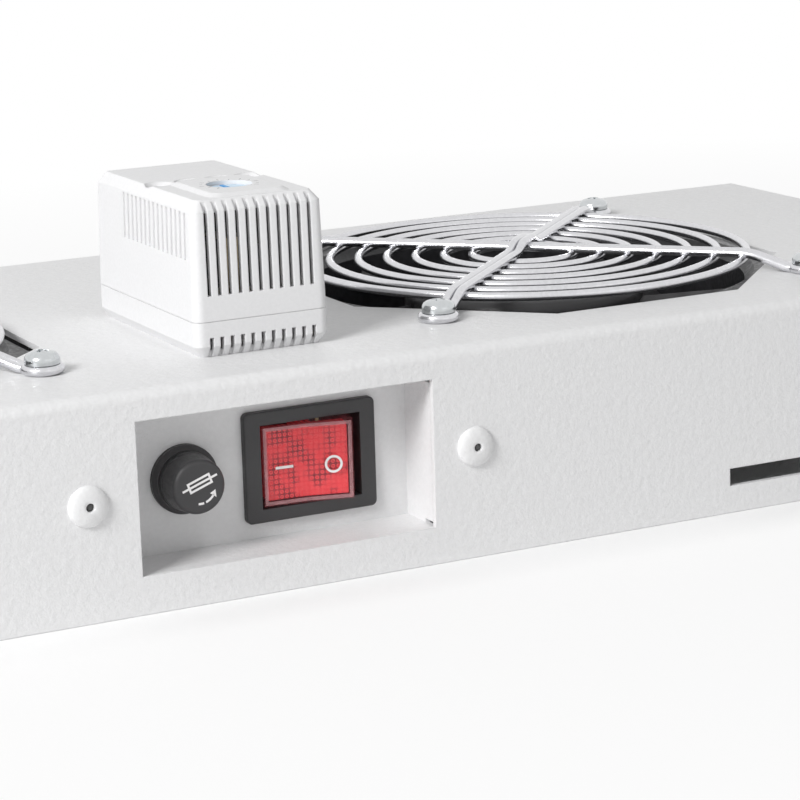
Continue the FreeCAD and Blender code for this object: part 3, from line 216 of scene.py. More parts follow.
def add_tube(bm, points, radius, closed=False, sides=12):
    """Sweeps a round section along points, square to the path."""
    count = len(points)
    rings = []
    normal = None
    for index, point in enumerate(points):
        before = points[index - 1] if closed or index > 0 else point
        after = points[(index + 1) % count] if closed or index < count - 1 else point
        along = (after - before).normalized()
        if normal is None:
            helper = UP if abs(along.dot(UP)) < STEEP else Vector((1, 0, 0))
            normal = along.cross(helper).normalized()
        normal = (normal - along * normal.dot(along)).normalized()
        other = along.cross(normal)
        ring = []
        for step in range(sides):
            angle = 2 * math.pi * step / sides
            spoke = normal * math.cos(angle) + other * math.sin(angle)
            ring.append(bm.verts.new(point + spoke * radius))
        rings.append(ring)
    spans = count if closed else count - 1
    for index in range(spans):
        first = rings[index]
        second = rings[(index + 1) % count]
        for step in range(sides):
            following = (step + 1) % sides
            bm.faces.new((first[step], first[following], second[following], second[step]))
    if not closed:
        bm.faces.new(rings[0])
        bm.faces.new(rings[-1])


def circle_points(centre, radius, count):
    points = []
    for index in range(count):
        angle = 2 * math.pi * index / count
        points.append(centre + Vector((radius * math.cos(angle), radius * math.sin(angle), 0)))
    return points


def softened(points, radius, steps=5):
    """A route with each corner rounded by a short arc-like curve."""
    route = [points[0]]
    for before, corner, after in zip(points, points[1:], points[2:]):
        back = before - corner
        ahead = after - corner
        reach = min(radius, CORNER_SHARE * back.length, CORNER_SHARE * ahead.length)
        start = corner + back.normalized() * reach
        end = corner + ahead.normalized() * reach
        for step in range(steps + 1):
            t = step / steps
            route.append(start * (1 - t) ** 2 + corner * 2 * t * (1 - t) + end * t ** 2)
    route.append(points[-1])
    return route


def add_lathe(bm, profile, segments=48):
    """Turns (radius, height) points about Z and closes the ends that lie on the axis."""
    rings = []
    for radius, height in profile:
        if radius < ON_AXIS:
            rings.append([bm.verts.new((0, 0, height))])
            continue
        ring = []
        for step in range(segments):
            angle = 2 * math.pi * step / segments
            place = (radius * math.cos(angle), radius * math.sin(angle), height)
            ring.append(bm.verts.new(place))
        rings.append(ring)
    for first, second in zip(rings, rings[1:]):
        for step in range(segments):
            following = (step + 1) % segments
            if len(first) == 1:
                bm.faces.new((first[0], second[step], second[following]))
            elif len(second) == 1:
                bm.faces.new((first[step], first[following], second[0]))
            else:
                bm.faces.new((first[step], first[following], second[following], second[step]))


def arc_profile(centre, radius, start, end, steps):
    """Points of an arc in the (radius, height) plane, angles in degrees."""
    points = []
    for step in range(steps + 1):
        angle = math.radians(start + (end - start) * step / steps)
        points.append((centre[0] + radius * math.cos(angle),
                       centre[1] + radius * math.sin(angle)))
    return points


def cut_with(piece, tool):
    """Applies a boolean difference to a piece and removes the tool."""
    modifier = piece.modifiers.new("cut", "BOOLEAN")
    modifier.operation = "DIFFERENCE"
    modifier.solver = "EXACT"
    modifier.object = tool
    bpy.context.view_layer.update()
    graph = bpy.context.evaluated_depsgraph_get()
    result = bpy.data.meshes.new_from_object(piece.evaluated_get(graph))
    piece.modifiers.clear()
    old = piece.data
    piece.data = result
    bpy.data.meshes.remove(old)
    bpy.data.objects.remove(tool)
    return piece


# ---------------------------------------------------------------- materials
NOISE_LOW = 0.35
NOISE_HIGH = 0.65
MIX_FACTOR, MIX_A, MIX_B = 0, 6, 7
MIX_RESULT = 2
BEVEL_SAMPLES = 6
PRINT_FINISH = {"edge": 0.02 * MM, "grain": 5000, "depth": 0.1}


def new_material(name, colour, roughness, metallic=0.0, **extra):
    """A principled material and its shader, with constants set on the shader's own sockets."""
    material = bpy.data.materials.new(name)
    material.use_nodes = True
    shader = material.node_tree.nodes["Principled BSDF"]
    shader.inputs["Base Color"].default_value = (*colour, 1)
    shader.inputs["Roughness"].default_value = roughness
    shader.inputs["Metallic"].default_value = metallic
    for socket, value in extra.items():
        shader.inputs[socket.replace("_", " ")].default_value = value
    return material, shader


def add_node(material, kind, **values):
    node = material.node_tree.nodes.new(kind)
    for key, value in values.items():
        if key in node.inputs:
            node.inputs[key].default_value = value
        else:
            setattr(node, key, value)
    return node


def link(material, source, target):
    material.node_tree.links.new(source, target)


def place_coordinates(material):
    return add_node(material, "ShaderNodeTexCoord").outputs["Object"]


def noise(material, scale, detail=3.0, rough=0.5):
    node = add_node(material, "ShaderNodeTexNoise", Scale=scale, Detail=detail, Roughness=rough)
    link(material, place_coordinates(material), node.inputs["Vector"])
    return node.outputs["Fac"]


def varied(material, shader, factor, low, high, socket="Base Color"):
    """Drives a colour or a number between two values by a texture."""
    node = add_node(material, "ShaderNodeMapRange")
    link(material, factor, node.inputs["Value"])
    node.inputs["From Min"].default_value = NOISE_LOW
    node.inputs["From Max"].default_value = NOISE_HIGH
    if socket != "Base Color":
        node.inputs["To Min"].default_value = low
        node.inputs["To Max"].default_value = high
        link(material, node.outputs["Result"], shader.inputs[socket])
        return
    mix = add_node(material, "ShaderNodeMix", data_type="RGBA")
    mix.inputs[MIX_A].default_value = (*low, 1)
    mix.inputs[MIX_B].default_value = (*high, 1)
    link(material, node.outputs["Result"], mix.inputs[MIX_FACTOR])
    link(material, mix.outputs[MIX_RESULT], shader.inputs[socket])


def bumped(material, shader, factor, strength, distance, edge=0.0):
    """Adds bump from a texture, over edges that look rounded by a small radius."""
    bump = add_node(material, "ShaderNodeBump", Strength=strength, Distance=distance)
    link(material, factor, bump.inputs["Height"])
    if edge > 0:
        bevel = add_node(material, "ShaderNodeBevel", samples=BEVEL_SAMPLES, Radius=edge)
        link(material, bevel.outputs["Normal"], bump.inputs["Normal"])
    link(material, bump.outputs["Normal"], shader.inputs["Normal"])


def scaled(colour, factor):
    return tuple(channel * factor for channel in colour)


def powder_coat():
    grey = (0.80, 0.80, 0.805)
    material, shader = new_material("powder_coat_light_grey", grey, roughness=0.5)
    varied(material, shader, noise(material, scale=900, detail=3),
           low=scaled(grey, 0.975), high=scaled(grey, 1.005))
    varied(material, shader, noise(material, scale=700, detail=2),
           low=0.36, high=0.48, socket="Roughness")
    bumped(material, shader, noise(material, scale=520, detail=3, rough=0.62),
           strength=0.85, distance=0.24 * MM, edge=0.35 * MM)
    return material


def black_casting():
    black = (0.018, 0.018, 0.020)
    material, shader = new_material("black_cast_paint", black, roughness=0.38)
    varied(material, shader, noise(material, scale=500, detail=4),
           low=scaled(black, 0.75), high=scaled(black, 1.5))
    varied(material, shader, noise(material, scale=900, detail=3),
           low=0.3, high=0.5, socket="Roughness")
    bumped(material, shader, noise(material, scale=1600, detail=3),
           strength=0.25, distance=0.1 * MM, edge=0.3 * MM)
    return material


def moulded(name, colour, roughness, edge=0.25 * MM, grain=2600, depth=0.18):
    material, shader = new_material(name, colour, roughness)
    varied(material, shader, noise(material, scale=1300, detail=3),
           low=scaled(colour, 0.98), high=scaled(colour, 1.01))
    varied(material, shader, noise(material, scale=grain * 0.6, detail=2),
           low=roughness - 0.05, high=roughness + 0.07, socket="Roughness")
    bumped(material, shader, noise(material, scale=grain, detail=2),
           strength=depth, distance=0.03 * MM, edge=edge)
    return material


def plated(name, colour, roughness, grain=900, edge=0.15 * MM):
    material, shader = new_material(name, colour, roughness, metallic=1.0)
    varied(material, shader, noise(material, scale=grain, detail=3),
           low=scaled(colour, 0.96), high=scaled(colour, 1.02))
    varied(material, shader, noise(material, scale=grain * 2.5, detail=3),
           low=roughness - 0.03, high=roughness + 0.05, socket="Roughness")
    bumped(material, shader, noise(material, scale=grain * 3, detail=2),
           strength=0.06, distance=0.02 * MM, edge=edge)
    return material


def clear_red_cap():
    material, shader = new_material("clear_red_cap", (0.80, 0.20, 0.22), roughness=0.06,
                                    Alpha=0.10, Coat_Weight=0.4)
    varied(material, shader, noise(material, scale=300, detail=2),
           low=(0.70, 0.14, 0.17), high=(0.80, 0.20, 0.23))
    bumped(material, shader, noise(material, scale=350, detail=2),
           strength=0.05, distance=0.05 * MM, edge=0.3 * MM)
    return material


LENS_PITCH = 1.2 * MM
LENS_EYE = 0.17
LENS_EYE_GREY = 0.55
LENS_RING_START = 0.22
LENS_RING_END = 0.36
LENS_EDGE = 0.42
GAP_DARK = (0.20, 0.003, 0.010)
GAP_BRIGHT = (0.90, 0.040, 0.050)
LENS_RED = (1.0, 0.070, 0.078)
PATCH_DARK = 0.40
PATCH_BRIGHT = 0.60


def grey_stop(stop, position, value):
    stop.position = position
    stop.color = (value, value, value, 1)


def lens_distance(material):
    """How far a point lies from the middle of its lens in a square grid, in pitches."""
    scale = add_node(material, "ShaderNodeVectorMath", operation="SCALE")
    scale.inputs["Scale"].default_value = 1 / LENS_PITCH
    link(material, place_coordinates(material), scale.inputs[0])
    cell = add_node(material, "ShaderNodeVectorMath", operation="FRACTION")
    link(material, scale.outputs[0], cell.inputs[0])
    centred = add_node(material, "ShaderNodeVectorMath", operation="SUBTRACT")
    centred.inputs[1].default_value = (0.5, 0.5, 0.5)
    link(material, cell.outputs[0], centred.inputs[0])
    flat = add_node(material, "ShaderNodeVectorMath", operation="MULTIPLY")
    flat.inputs[1].default_value = (1, 0, 1)
    link(material, centred.outputs[0], flat.inputs[0])
    reach = add_node(material, "ShaderNodeVectorMath", operation="LENGTH")
    link(material, flat.outputs[0], reach.inputs[0])
    return reach.outputs["Value"]


def red_diffuser():
    """Red plastic with a square grid of small round lenses, darker between them in patches; a weak emission adds a
    painted glow.
    """
    # The weak red emission is a painted glow that brightens the unlit lamp's face.
    material, shader = new_material("red_diffuser", (0.80, 0.055, 0.07), roughness=0.32,
                                    Emission_Color=(0.9, 0.06, 0.08, 1), Emission_Strength=0.06)
    ring = add_node(material, "ShaderNodeValToRGB")
    stops = ring.color_ramp.elements
    grey_stop(stops[0], LENS_EYE, LENS_EYE_GREY)
    grey_stop(stops[1], LENS_RING_START, 1.0)
    grey_stop(stops.new(LENS_RING_END), LENS_RING_END, 1.0)
    grey_stop(stops.new(LENS_EDGE), LENS_EDGE, 0.0)
    link(material, lens_distance(material), ring.inputs["Fac"])
    gaps = add_node(material, "ShaderNodeMix", data_type="RGBA")
    gaps.inputs[MIX_A].default_value = (*GAP_DARK, 1)
    gaps.inputs[MIX_B].default_value = (*GAP_BRIGHT, 1)
    patches = add_node(material, "ShaderNodeMapRange")
    patches.inputs["From Min"].default_value = PATCH_DARK
    patches.inputs["From Max"].default_value = PATCH_BRIGHT
    link(material, noise(material, scale=230, detail=1), patches.inputs["Value"])
    link(material, patches.outputs["Result"], gaps.inputs[MIX_FACTOR])
    mix = add_node(material, "ShaderNodeMix", data_type="RGBA")
    link(material, gaps.outputs[MIX_RESULT], mix.inputs[MIX_A])
    mix.inputs[MIX_B].default_value = (*LENS_RED, 1)
    link(material, ring.outputs["Color"], mix.inputs[MIX_FACTOR])
    link(material, mix.outputs[MIX_RESULT], shader.inputs["Base Color"])
    bump = add_node(material, "ShaderNodeBump", Strength=0.5, Distance=0.12 * MM)
    link(material, ring.outputs["Color"], bump.inputs["Height"])
    link(material, bump.outputs["Normal"], shader.inputs["Normal"])
    return material


def clear_rim():
    material, shader = new_material("clear_rim", (0.60, 0.30, 0.32), roughness=0.12,
                                    Alpha=0.42, Coat_Weight=0.4)
    varied(material, shader, noise(material, scale=900, detail=2),
           low=(0.55, 0.26, 0.28), high=(0.66, 0.35, 0.37))
    bumped(material, shader, noise(material, scale=900, detail=2),
           strength=0.1, distance=0.03 * MM)
    return material


def clear_glass():
    material, shader = new_material("clear_glass", (0.9, 0.93, 0.93), roughness=0.05,
                                    Alpha=0.3, Coat_Weight=0.5)
    varied(material, shader, noise(material, scale=500, detail=2),
           low=(0.84, 0.88, 0.88), high=(0.94, 0.96, 0.96))
    return material


MATERIALS = {
    "powder_coat": powder_coat(),
    "black_casting": black_casting(),
    "black_plastic": moulded("black_plastic", (0.042, 0.041, 0.043), roughness=0.42),
    "white_plastic": moulded("white_plastic", (0.795, 0.795, 0.802), roughness=0.45, edge=0.4 * MM),
    "blue_plastic": moulded("pale_blue_plastic", (0.60, 0.76, 0.90), roughness=0.35),
    "red_lens": clear_red_cap(),
    "red_diffuser": red_diffuser(),
    "lamp_glass": clear_glass(),
    "brass": plated("tinned_brass", (0.72, 0.60, 0.38), roughness=0.3),
    "zinc": plated("bright_zinc", (0.60, 0.62, 0.63), roughness=0.17),
    "steel": plated("ground_steel", (0.55, 0.55, 0.56), roughness=0.35),
    "guard_wire": plated("bright_wire", (0.68, 0.68, 0.70), roughness=0.22),
    "black_rubber": moulded("black_rubber", (0.02, 0.02, 0.02), roughness=0.7),
}
WHITE_PRINT = moulded("white_print", (0.86, 0.84, 0.84), roughness=0.5, **PRINT_FINISH)
GREY_PRINT = moulded("grey_print", (0.10, 0.10, 0.11), roughness=0.55, **PRINT_FINISH)
BLUE_PRINT = moulded("blue_print", (0.02, 0.30, 0.68), roughness=0.4, **PRINT_FINISH)
CLEAR_RIM = clear_rim()
# Near-black for the rivets' mandrel stubs: painted shade standing in for the shaded bore.
MANDREL_PAINTED_SHADE = moulded("mandrel_painted_shade", (0.09, 0.09, 0.09), roughness=0.6, **PRINT_FINISH)


def dress_nodes():
    slots = {part["node"]: part["material_slot"] for part in frame["record"]["subparts"]}
    for name, node in NODES.items():
        node.data.materials.clear()
        node.data.materials.append(MATERIALS[slots[name]])


dress_nodes()

# ---------------------------------------------------------------- finger guards


def guard_centre(side):
    """The point of the tray's top below the middle of a guard."""
    middle = node_middle("fan_frame_" + side)
    return Vector((middle.x, middle.y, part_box("tray_shell")[1].z))


def guard_arm(hop):
    """(reach, height) points of one arm; the upper arm hops over the lower one at the middle."""
    corner = SCREW_SQUARE / math.sqrt(2)
    foot = WIRE / 2
    eyelet = GUARD_EYELET + foot * GUARD_EYELET_WIRE_SHARE
    run = GUARD_RING_LIFT + WIRE - GUARD_WELD
    half = [(corner - eyelet, foot), (corner - M4_HEAD - GUARD_FOOT_GAP, foot),
            (GUARD_OUTER + GUARD_SLOPE_RUN, run)]
    if hop:
        half += [(GUARD_HOP_START, run), (GUARD_HOP_END, run + (WIRE - GUARD_WELD))]
    return half + [(-reach, height) for reach, height in reversed(half)]


def add_guard(bm, centre):
    """Welded guard: rings, two crossing arms of paired wires, and eyelets under the screws."""
    radius = WIRE / 2
    corner = SCREW_SQUARE / math.sqrt(2)
    eyelet = GUARD_EYELET + radius * GUARD_EYELET_WIRE_SHARE
    for index in range(GUARD_RINGS):
        reach = GUARD_OUTER - GUARD_PITCH * index
        ring = circle_points(centre + UP * GUARD_RING_LIFT, reach, RING_FACETS)
        add_tube(bm, ring, radius, closed=True)
    for turn in GUARD_ARMS:
        spin = Matrix.Rotation(math.radians(turn), 3, "Z")
        for offset in (-GUARD_ARM_PAIR / 2, GUARD_ARM_PAIR / 2):
            points = [centre + spin @ Vector((reach, offset, 0)) + UP * height
                      for reach, height in guard_arm(hop=turn > 0)]
            add_tube(bm, softened(points, GUARD_BEND), radius)
        for end in (-1, 1):
            place = centre + spin @ Vector((end * corner, 0, 0)) + UP * radius
            loop = circle_points(place, eyelet + GUARD_EYELET_LAP, EYELET_FACETS)
            add_tube(bm, loop, radius, closed=True)


def make_guards():
    for side in SIDES:
        piece = mesh_object("guard_wires_" + side, lambda bm: add_guard(bm, guard_centre(side)))
        finish_piece(piece, MATERIALS["guard_wire"], "tray", ("guard_" + side,))


make_guards()

# ---------------------------------------------------------------- screws and rivets


def pan_head_profile(head, height):
    """Head of a pan screw with a rounded rim and a low crown."""
    rim = PAN_RIM * height
    arc_centre = (head - PAN_ARC_RADIUS * rim, height - PAN_ARC_DROP * rim)
    profile = [(0, 0), (head, 0), (head, height - PAN_SIDE_DROP * rim)]
    profile += arc_profile(arc_centre, PAN_ARC_RADIUS * rim,
                           PAN_ARC_FROM, PAN_ARC_TO, PAN_ARC_STEPS)
    edge, shoulder = profile[-1]
    for step in range(1, PAN_CROWN_STEPS + 1):
        t = step / PAN_CROWN_STEPS
        rise = (height - shoulder) * math.sin(t * math.pi / 2)
        profile.append((edge * (1 - t), shoulder + rise))
    return profile


def add_cross_arm(bm, turn, head, height):
    """One tapered arm of a cross-shaped punch that stands above the head."""
    spin = Matrix.Rotation(math.radians(turn), 3, "Z")
    depth = CROSS_DEPTH * height
    corners = []
    ends = ((height - depth, CROSS_FLOOR), (height + depth, CROSS_MOUTH))
    for z, (long_share, wide_share) in ends:
        half = long_share * (CROSS_LENGTH * head)
        thick = wide_share * (CROSS_WIDTH * head)
        for sx, sy in CORNERS:
            corners.append(bm.verts.new(spin @ Vector((sx * half, sy * thick, z))))
    bm.faces.new(corners[0:4])
    bm.faces.new(corners[4:8])
    for index in range(4):
        other = (index + 1) % 4
        bm.faces.new((corners[index], corners[other], corners[other + 4], corners[index + 4]))


def screw_mesh(head, height, shank, length):
    """One pan screw with its cross recess and a shank, head above the origin."""
    def body(bm):
        tip = [(0, -length), (shank - SCREW_TIP, -length), (shank, -length + SCREW_TIP)]
        add_lathe(bm, tip + [(shank, 0)] + pan_head_profile(head, height)[1:])

    blank = mesh_object("screw_blank", body)
    for turn in (0, 90):
        punch = mesh_object("screw_punch", lambda bm: add_cross_arm(bm, turn, head, height))
        cut_with(blank, punch)
    mesh = blank.data
    bpy.data.objects.remove(blank)
    return mesh


def add_mesh(bm, mesh, matrix):
    start = len(bm.verts)
    bm.from_mesh(mesh)
    bm.verts.ensure_lookup_table()
    for vert in bm.verts[start:]:
        vert.co = matrix @ vert.co


def make_guard_screws():
    low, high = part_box("guard_screws_left")
    length = high.z - low.z - M4_HEAD_HEIGHT
    mesh = screw_mesh(M4_HEAD, M4_HEAD_HEIGHT, M4_SHANK, length)
    for side in SIDES:
        centre = node_middle("fan_frame_" + side)
        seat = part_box("guard_screws_" + side)[1].z - M4_HEAD_HEIGHT

        def build(bm):
            turn = SCREW_FIRST_TURN
            for sx in (-1, 1):
                for sy in (-1, 1):
                    spot = Vector((centre.x + sx * SCREW_SQUARE / 2,
                                   centre.y + sy * SCREW_SQUARE / 2, seat))
                    spin = Matrix.Rotation(math.radians(turn), 4, "Z")
                    add_mesh(bm, mesh, Matrix.Translation(spot) @ spin)
                    turn += SCREW_TURN_STEP

        piece = mesh_object("pan_screws_" + side, build)
        sharpen(piece)
        finish_piece(piece, MATERIALS["zinc"], "tray", ("guard_screws_" + side,))


make_guard_screws()


def rivet_dome():
    """(radius, height) outline of a rivet: shank, low edge, dome, and the bore in its middle."""
    lip = RIVET_BORE * RIVET_LIP
    dome = [(0, -RIVET_SHANK_LENGTH), (RIVET_SHANK, -RIVET_SHANK_LENGTH), (RIVET_SHANK, 0),
            (RIVET_RADIUS, 0), (RIVET_RADIUS, RIVET_EDGE)]
    for step in range(1, RIVET_DOME_STEPS + 1):
        t = step / RIVET_DOME_STEPS * math.pi / 2
        dome.append((lip + (RIVET_RADIUS - lip) * math.cos(t),
                     RIVET_EDGE + (RIVET_HEIGHT - RIVET_EDGE) * math.sin(t)))
    return dome + [(RIVET_BORE, RIVET_HEIGHT - RIVET_LIP_DROP), (RIVET_BORE, RIVET_BORE_FLOOR),
                   (0, RIVET_BORE_FLOOR)]


def mandrel_stub():
    """(radius, height) outline of the broken mandrel in the bore."""
    wide = RIVET_BORE * MANDREL_WIDE
    narrow = RIVET_BORE * MANDREL_NARROW
    return [(0, MANDREL_FOOT), (wide, MANDREL_FOOT), (wide, MANDREL_SHOULDER),
            (narrow, MANDREL_SHOULDER), (narrow, MANDREL_EDGE), (0, MANDREL_TIP)]


def make_rivet_heads():
    """Blind rivets of the recess: a shallow dome round the bore where the mandrel broke off."""
    low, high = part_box("recess_rivets")
    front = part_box("tray_shell")[0].y
    places = [Vector((x, front, mean(low.z, high.z)))
              for x in (low.x + RIVET_RADIUS, high.x - RIVET_RADIUS)]
    facing = Matrix.Rotation(math.radians(90), 4, "X")

    def turned(profile):
        def build(bm):
            blank = bmesh.new()
            add_lathe(blank, profile)
            mesh = bpy.data.meshes.new("rivet_turning")
            blank.to_mesh(mesh)
            blank.free()
            for place in places:
                add_mesh(bm, mesh, Matrix.Translation(place) @ facing)
            bpy.data.meshes.remove(mesh)
        return build

    heads = sharpen(mesh_object("rivet_heads", turned(rivet_dome())), TURNED_EDGE)
    finish_piece(heads, MATERIALS["powder_coat"], "tray", ("recess_rivets",))
    # The mandrel stubs are real parts, coloured near-black as painted shade in the rivets' bores.
    stubs = sharpen(mesh_object("rivet_mandrels", turned(mandrel_stub())), TURNED_EDGE)
    finish_piece(stubs, MANDREL_PAINTED_SHADE, "tray")


make_rivet_heads()

# ---------------------------------------------------------------- rocker marks


def rocker_pivot():
    return Vector(joint("rocker_hinge")["pos_m"])


def on_rocker(points):
    """Moves (along, up) points to the rocker's dished face at rest."""
    spin = Matrix.Rotation(-ROCKER_SWING / 2, 3, "Z")
    moved = []
    for along, up in points:
        depth = -ROCKER_FACE + ROCKER_DISH * (1 - abs(along) / ROCKER_HALF)
        moved.append(rocker_pivot() + spin @ Vector((along, depth, up)))
    return moved


def add_ribbon(bm, inner, outer, rise):
    """A closed raised band between two matching outlines; rise moves a point out of the face."""
    count = len(inner)
    low_in = [bm.verts.new(p) for p in inner]
    low_out = [bm.verts.new(p) for p in outer]
    high_in = [bm.verts.new(p + rise) for p in inner]
    high_out = [bm.verts.new(p + rise) for p in outer]
    for index in range(count):
        other = (index + 1) % count
        for first, second in ((low_in, low_out), (high_in, high_out),
                              (low_in, high_in), (low_out, high_out)):
            bm.faces.new((first[index], first[other], second[other], second[index]))


def add_plate(bm, corners, rise):
    low = [bm.verts.new(p) for p in corners]
    high = [bm.verts.new(p + rise) for p in corners]
    bm.faces.new(low)
    bm.faces.new(high)
    count = len(corners)
    for index in range(count):
        other = (index + 1) % count
        bm.faces.new((low[index], low[other], high[other], high[index]))


def make_rocker_rim():
    """The clear raised rim of the rocker's cap, round its dished face."""
    low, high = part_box("switch_rocker")
    tall = (high.z - low.z) / 2
    middle = mean(low.z, high.z) - rocker_pivot().z
    rise = Matrix.Rotation(-ROCKER_SWING / 2, 3, "Z") @ Vector((0, -RIM_RISE, 0))

    def outline(inset):
        half = ROCKER_HALF - inset
        top = tall - inset
        steps = [(-1 + 2 * k / RIM_STEPS) for k in range(RIM_STEPS + 1)]
        lower = [(half * t, middle - top) for t in steps]
        upper = [(half * t, middle + top) for t in reversed(steps)]
        return on_rocker(lower + upper)

    def rim(bm):
        add_ribbon(bm, outline(RIM_INSIDE), outline(RIM_OUTSIDE), rise)

    piece = mesh_object("rocker_rim", rim, smooth=False)
    finish_piece(piece, CLEAR_RIM, "switch_rocker_body")


make_rocker_rim()


def make_rocker_marks():
    """The generic on and off marks: a bar and a ring."""
    rise = Matrix.Rotation(-ROCKER_SWING / 2, 3, "Z") @ Vector((0, -MARK_RISE, 0))
    bar_length = 4.2 * MM
    bar_width = 0.62 * MM
    bar_middle = (-5.5 * MM, -0.5 * MM)
    ring_middle = (6.0 * MM, -0.9 * MM)
    ring_radius = 2.05 * MM
    ring_stroke = 0.55 * MM
    ring_facets = 48

    def bar(bm):
        corners = [(bar_middle[0] + sx * bar_length / 2, bar_middle[1] + sz * bar_width / 2)
                   for sx, sz in CORNERS]
        add_plate(bm, on_rocker(corners), rise)

    def ring(bm):
        outlines = []
        for radius in (ring_radius - ring_stroke, ring_radius):
            angles = [2 * math.pi * k / ring_facets for k in range(ring_facets)]
            points = [(ring_middle[0] + radius * math.cos(angle),
                       ring_middle[1] + radius * math.sin(angle)) for angle in angles]
            outlines.append(on_rocker(points))
        add_ribbon(bm, outlines[0], outlines[1], rise)

    for name, build in (("mark_on", bar), ("mark_off", ring)):
        piece = mesh_object(name, build, smooth=False)
        finish_piece(piece, WHITE_PRINT, "switch_rocker_body")


make_rocker_marks()

# ---------------------------------------------------------------- fuse cap mark


def make_fuse_marks():
    """A plain fuse symbol and a curved turning arrow on the face of the cap."""
    low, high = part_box("fuse_cap")
    centre = Vector((mean(low.x, high.x), low.y, mean(low.z, high.z)))
    tilt = math.radians(20)
    stroke = 0.5 * MM
    rise = Vector((0, -MARK_RISE, 0))
    symbol_middle = (0.3 * MM, 0.9 * MM)
    symbol_half_long = 2.9 * MM
    symbol_half_tall = 1.25 * MM
    symbol_lead_end = 4.4 * MM
    arrow_radius = 3.7 * MM
    arrow_dashes = ((-118, -98), (-90, -52))
    arrow_steps = 8
    arrow_tip = math.radians(-34)
    arrow_back = math.radians(-55)
    arrow_half_width = 0.9 * MM

    def place(x, z):
        return centre + Vector((x * math.cos(tilt) - z * math.sin(tilt), 0,
                                x * math.sin(tilt) + z * math.cos(tilt)))

    def on_arc(radius, angle):
        return place(radius * math.cos(angle), radius * math.sin(angle))

    def symbol(bm):
        inner = [place(symbol_middle[0] + sx * (symbol_half_long - stroke),
                       symbol_middle[1] + sz * (symbol_half_tall - stroke)) for sx, sz in CORNERS]
        outer = [place(symbol_middle[0] + sx * symbol_half_long,
                       symbol_middle[1] + sz * symbol_half_tall) for sx, sz in CORNERS]
        add_ribbon(bm, inner, outer, rise)
        for x0, x1 in ((-symbol_lead_end, -symbol_half_long),
                       (-symbol_half_long + stroke, symbol_half_long - stroke),
                       (symbol_half_long, symbol_lead_end)):
            corners = [place(symbol_middle[0] + x, symbol_middle[1] + sz * stroke / 2)
                       for x, sz in ((x0, -1), (x1, -1), (x1, 1), (x0, 1))]
            add_plate(bm, corners, rise)

    def arrow(bm):
        for start, end in arrow_dashes:
            angles = [math.radians(start + (end - start) * step / arrow_steps)
                      for step in range(arrow_steps + 1)]
            inner = [on_arc(arrow_radius - stroke / 2, angle) for angle in angles]
            outer = [on_arc(arrow_radius + stroke / 2, angle) for angle in angles]
            add_plate(bm, inner + outer[::-1], rise)
        corners = [on_arc(arrow_radius, arrow_tip),
                   on_arc(arrow_radius + arrow_half_width, arrow_back),
                   on_arc(arrow_radius - arrow_half_width, arrow_back)]
        add_plate(bm, corners, rise)

    for name, build in (("fuse_symbol", symbol), ("fuse_turn_arrow", arrow)):
        piece = mesh_object(name, build, smooth=False)
        finish_piece(piece, WHITE_PRINT, "fuse_carrier")


make_fuse_marks()

# ---------------------------------------------------------------- thermostat dial marks


def make_dial_marks():
    """Setting ticks on the raised plateau and the blue pointer in the dial."""
    low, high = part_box("thermostat_dial")
    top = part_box("thermostat_cover")[1].z
    centre = Vector((mean(low.x, high.x), mean(low.y, high.y), top - TICK_SUNK))

    def ticks(bm):
        for index in range(DIAL_TICKS):
            angle = math.radians(90 + DIAL_FROM + (DIAL_TO - DIAL_FROM) * index / (DIAL_TICKS - 1))
            along = Vector((math.cos(angle), math.sin(angle), 0))
            across = Vector((-along.y, along.x, 0)) * TICK_HALF_WIDTH
            far = TICK_FAR_LONG if index % 2 == 0 else TICK_FAR_SHORT
            corners = [centre + along * TICK_NEAR - across, centre + along * far - across,
                       centre + along * far + across, centre + along * TICK_NEAR + across]
            add_plate(bm, corners, UP * TICK_THICKNESS)

    piece = mesh_object("dial_ticks", ticks, smooth=False)
    finish_piece(piece, GREY_PRINT, "tray")

    def pointer(bm):
        half = Vector((POINTER_HALF_WIDTH, POINTER_HALF_LENGTH, 0))
        corners = [Vector((centre.x + sx * half.x, centre.y + POINTER_OFFSET + sy * half.y,
                           high.z - POINTER_SUNK)) for sx, sy in CORNERS]
        add_plate(bm, corners, UP * POINTER_THICKNESS)

    piece = mesh_object("dial_pointer", pointer, smooth=False)
    finish_piece(piece, BLUE_PRINT, "dial")


make_dial_marks()

# ---------------------------------------------------------------- camera, floor and lights
FOCAL_PIXELS = 2815.2
YAW = math.radians(26.62)
PITCH = math.radians(13.20)
ROLL = math.radians(-1.74)
EYE = Vector((-250.11, -549.63, 161.46)) * MM
SENSOR = 36.0
FRAME_PIXELS = 800
CLIP_NEAR = 0.01
CLIP_FAR = 20
FLOOR_HALF = 6.0
FLOOR_GREY = 0.9
SHADOW_EDGE = 0.02
SHADOW_SHARE = 0.72
WHITE_FROM = 0.45
UNDER_TRAY = 0.0001
AMBIENT = 0.38
SEEN_SKY = 1.0


def make_camera():
    ahead = Vector((math.sin(YAW) * math.cos(PITCH), math.cos(YAW) * math.cos(PITCH),
                    -math.sin(PITCH)))
    level = Vector((math.cos(YAW), -math.sin(YAW), 0))
    over = level.cross(ahead)
    right = level * math.cos(ROLL) + over * math.sin(ROLL)
    above = over * math.cos(ROLL) - level * math.sin(ROLL)
    data = bpy.data.cameras.new("camera")
    data.sensor_width = SENSOR
    data.lens = FOCAL_PIXELS / FRAME_PIXELS * SENSOR
    data.clip_start = CLIP_NEAR
    data.clip_end = CLIP_FAR
    camera = bpy.data.objects.new("camera", data)
    facing = Matrix((right, above, -ahead)).transposed().to_4x4()
    camera.matrix_world = Matrix.Translation(EYE) @ facing
    bpy.context.scene.collection.objects.link(camera)
    bpy.context.scene.camera = camera


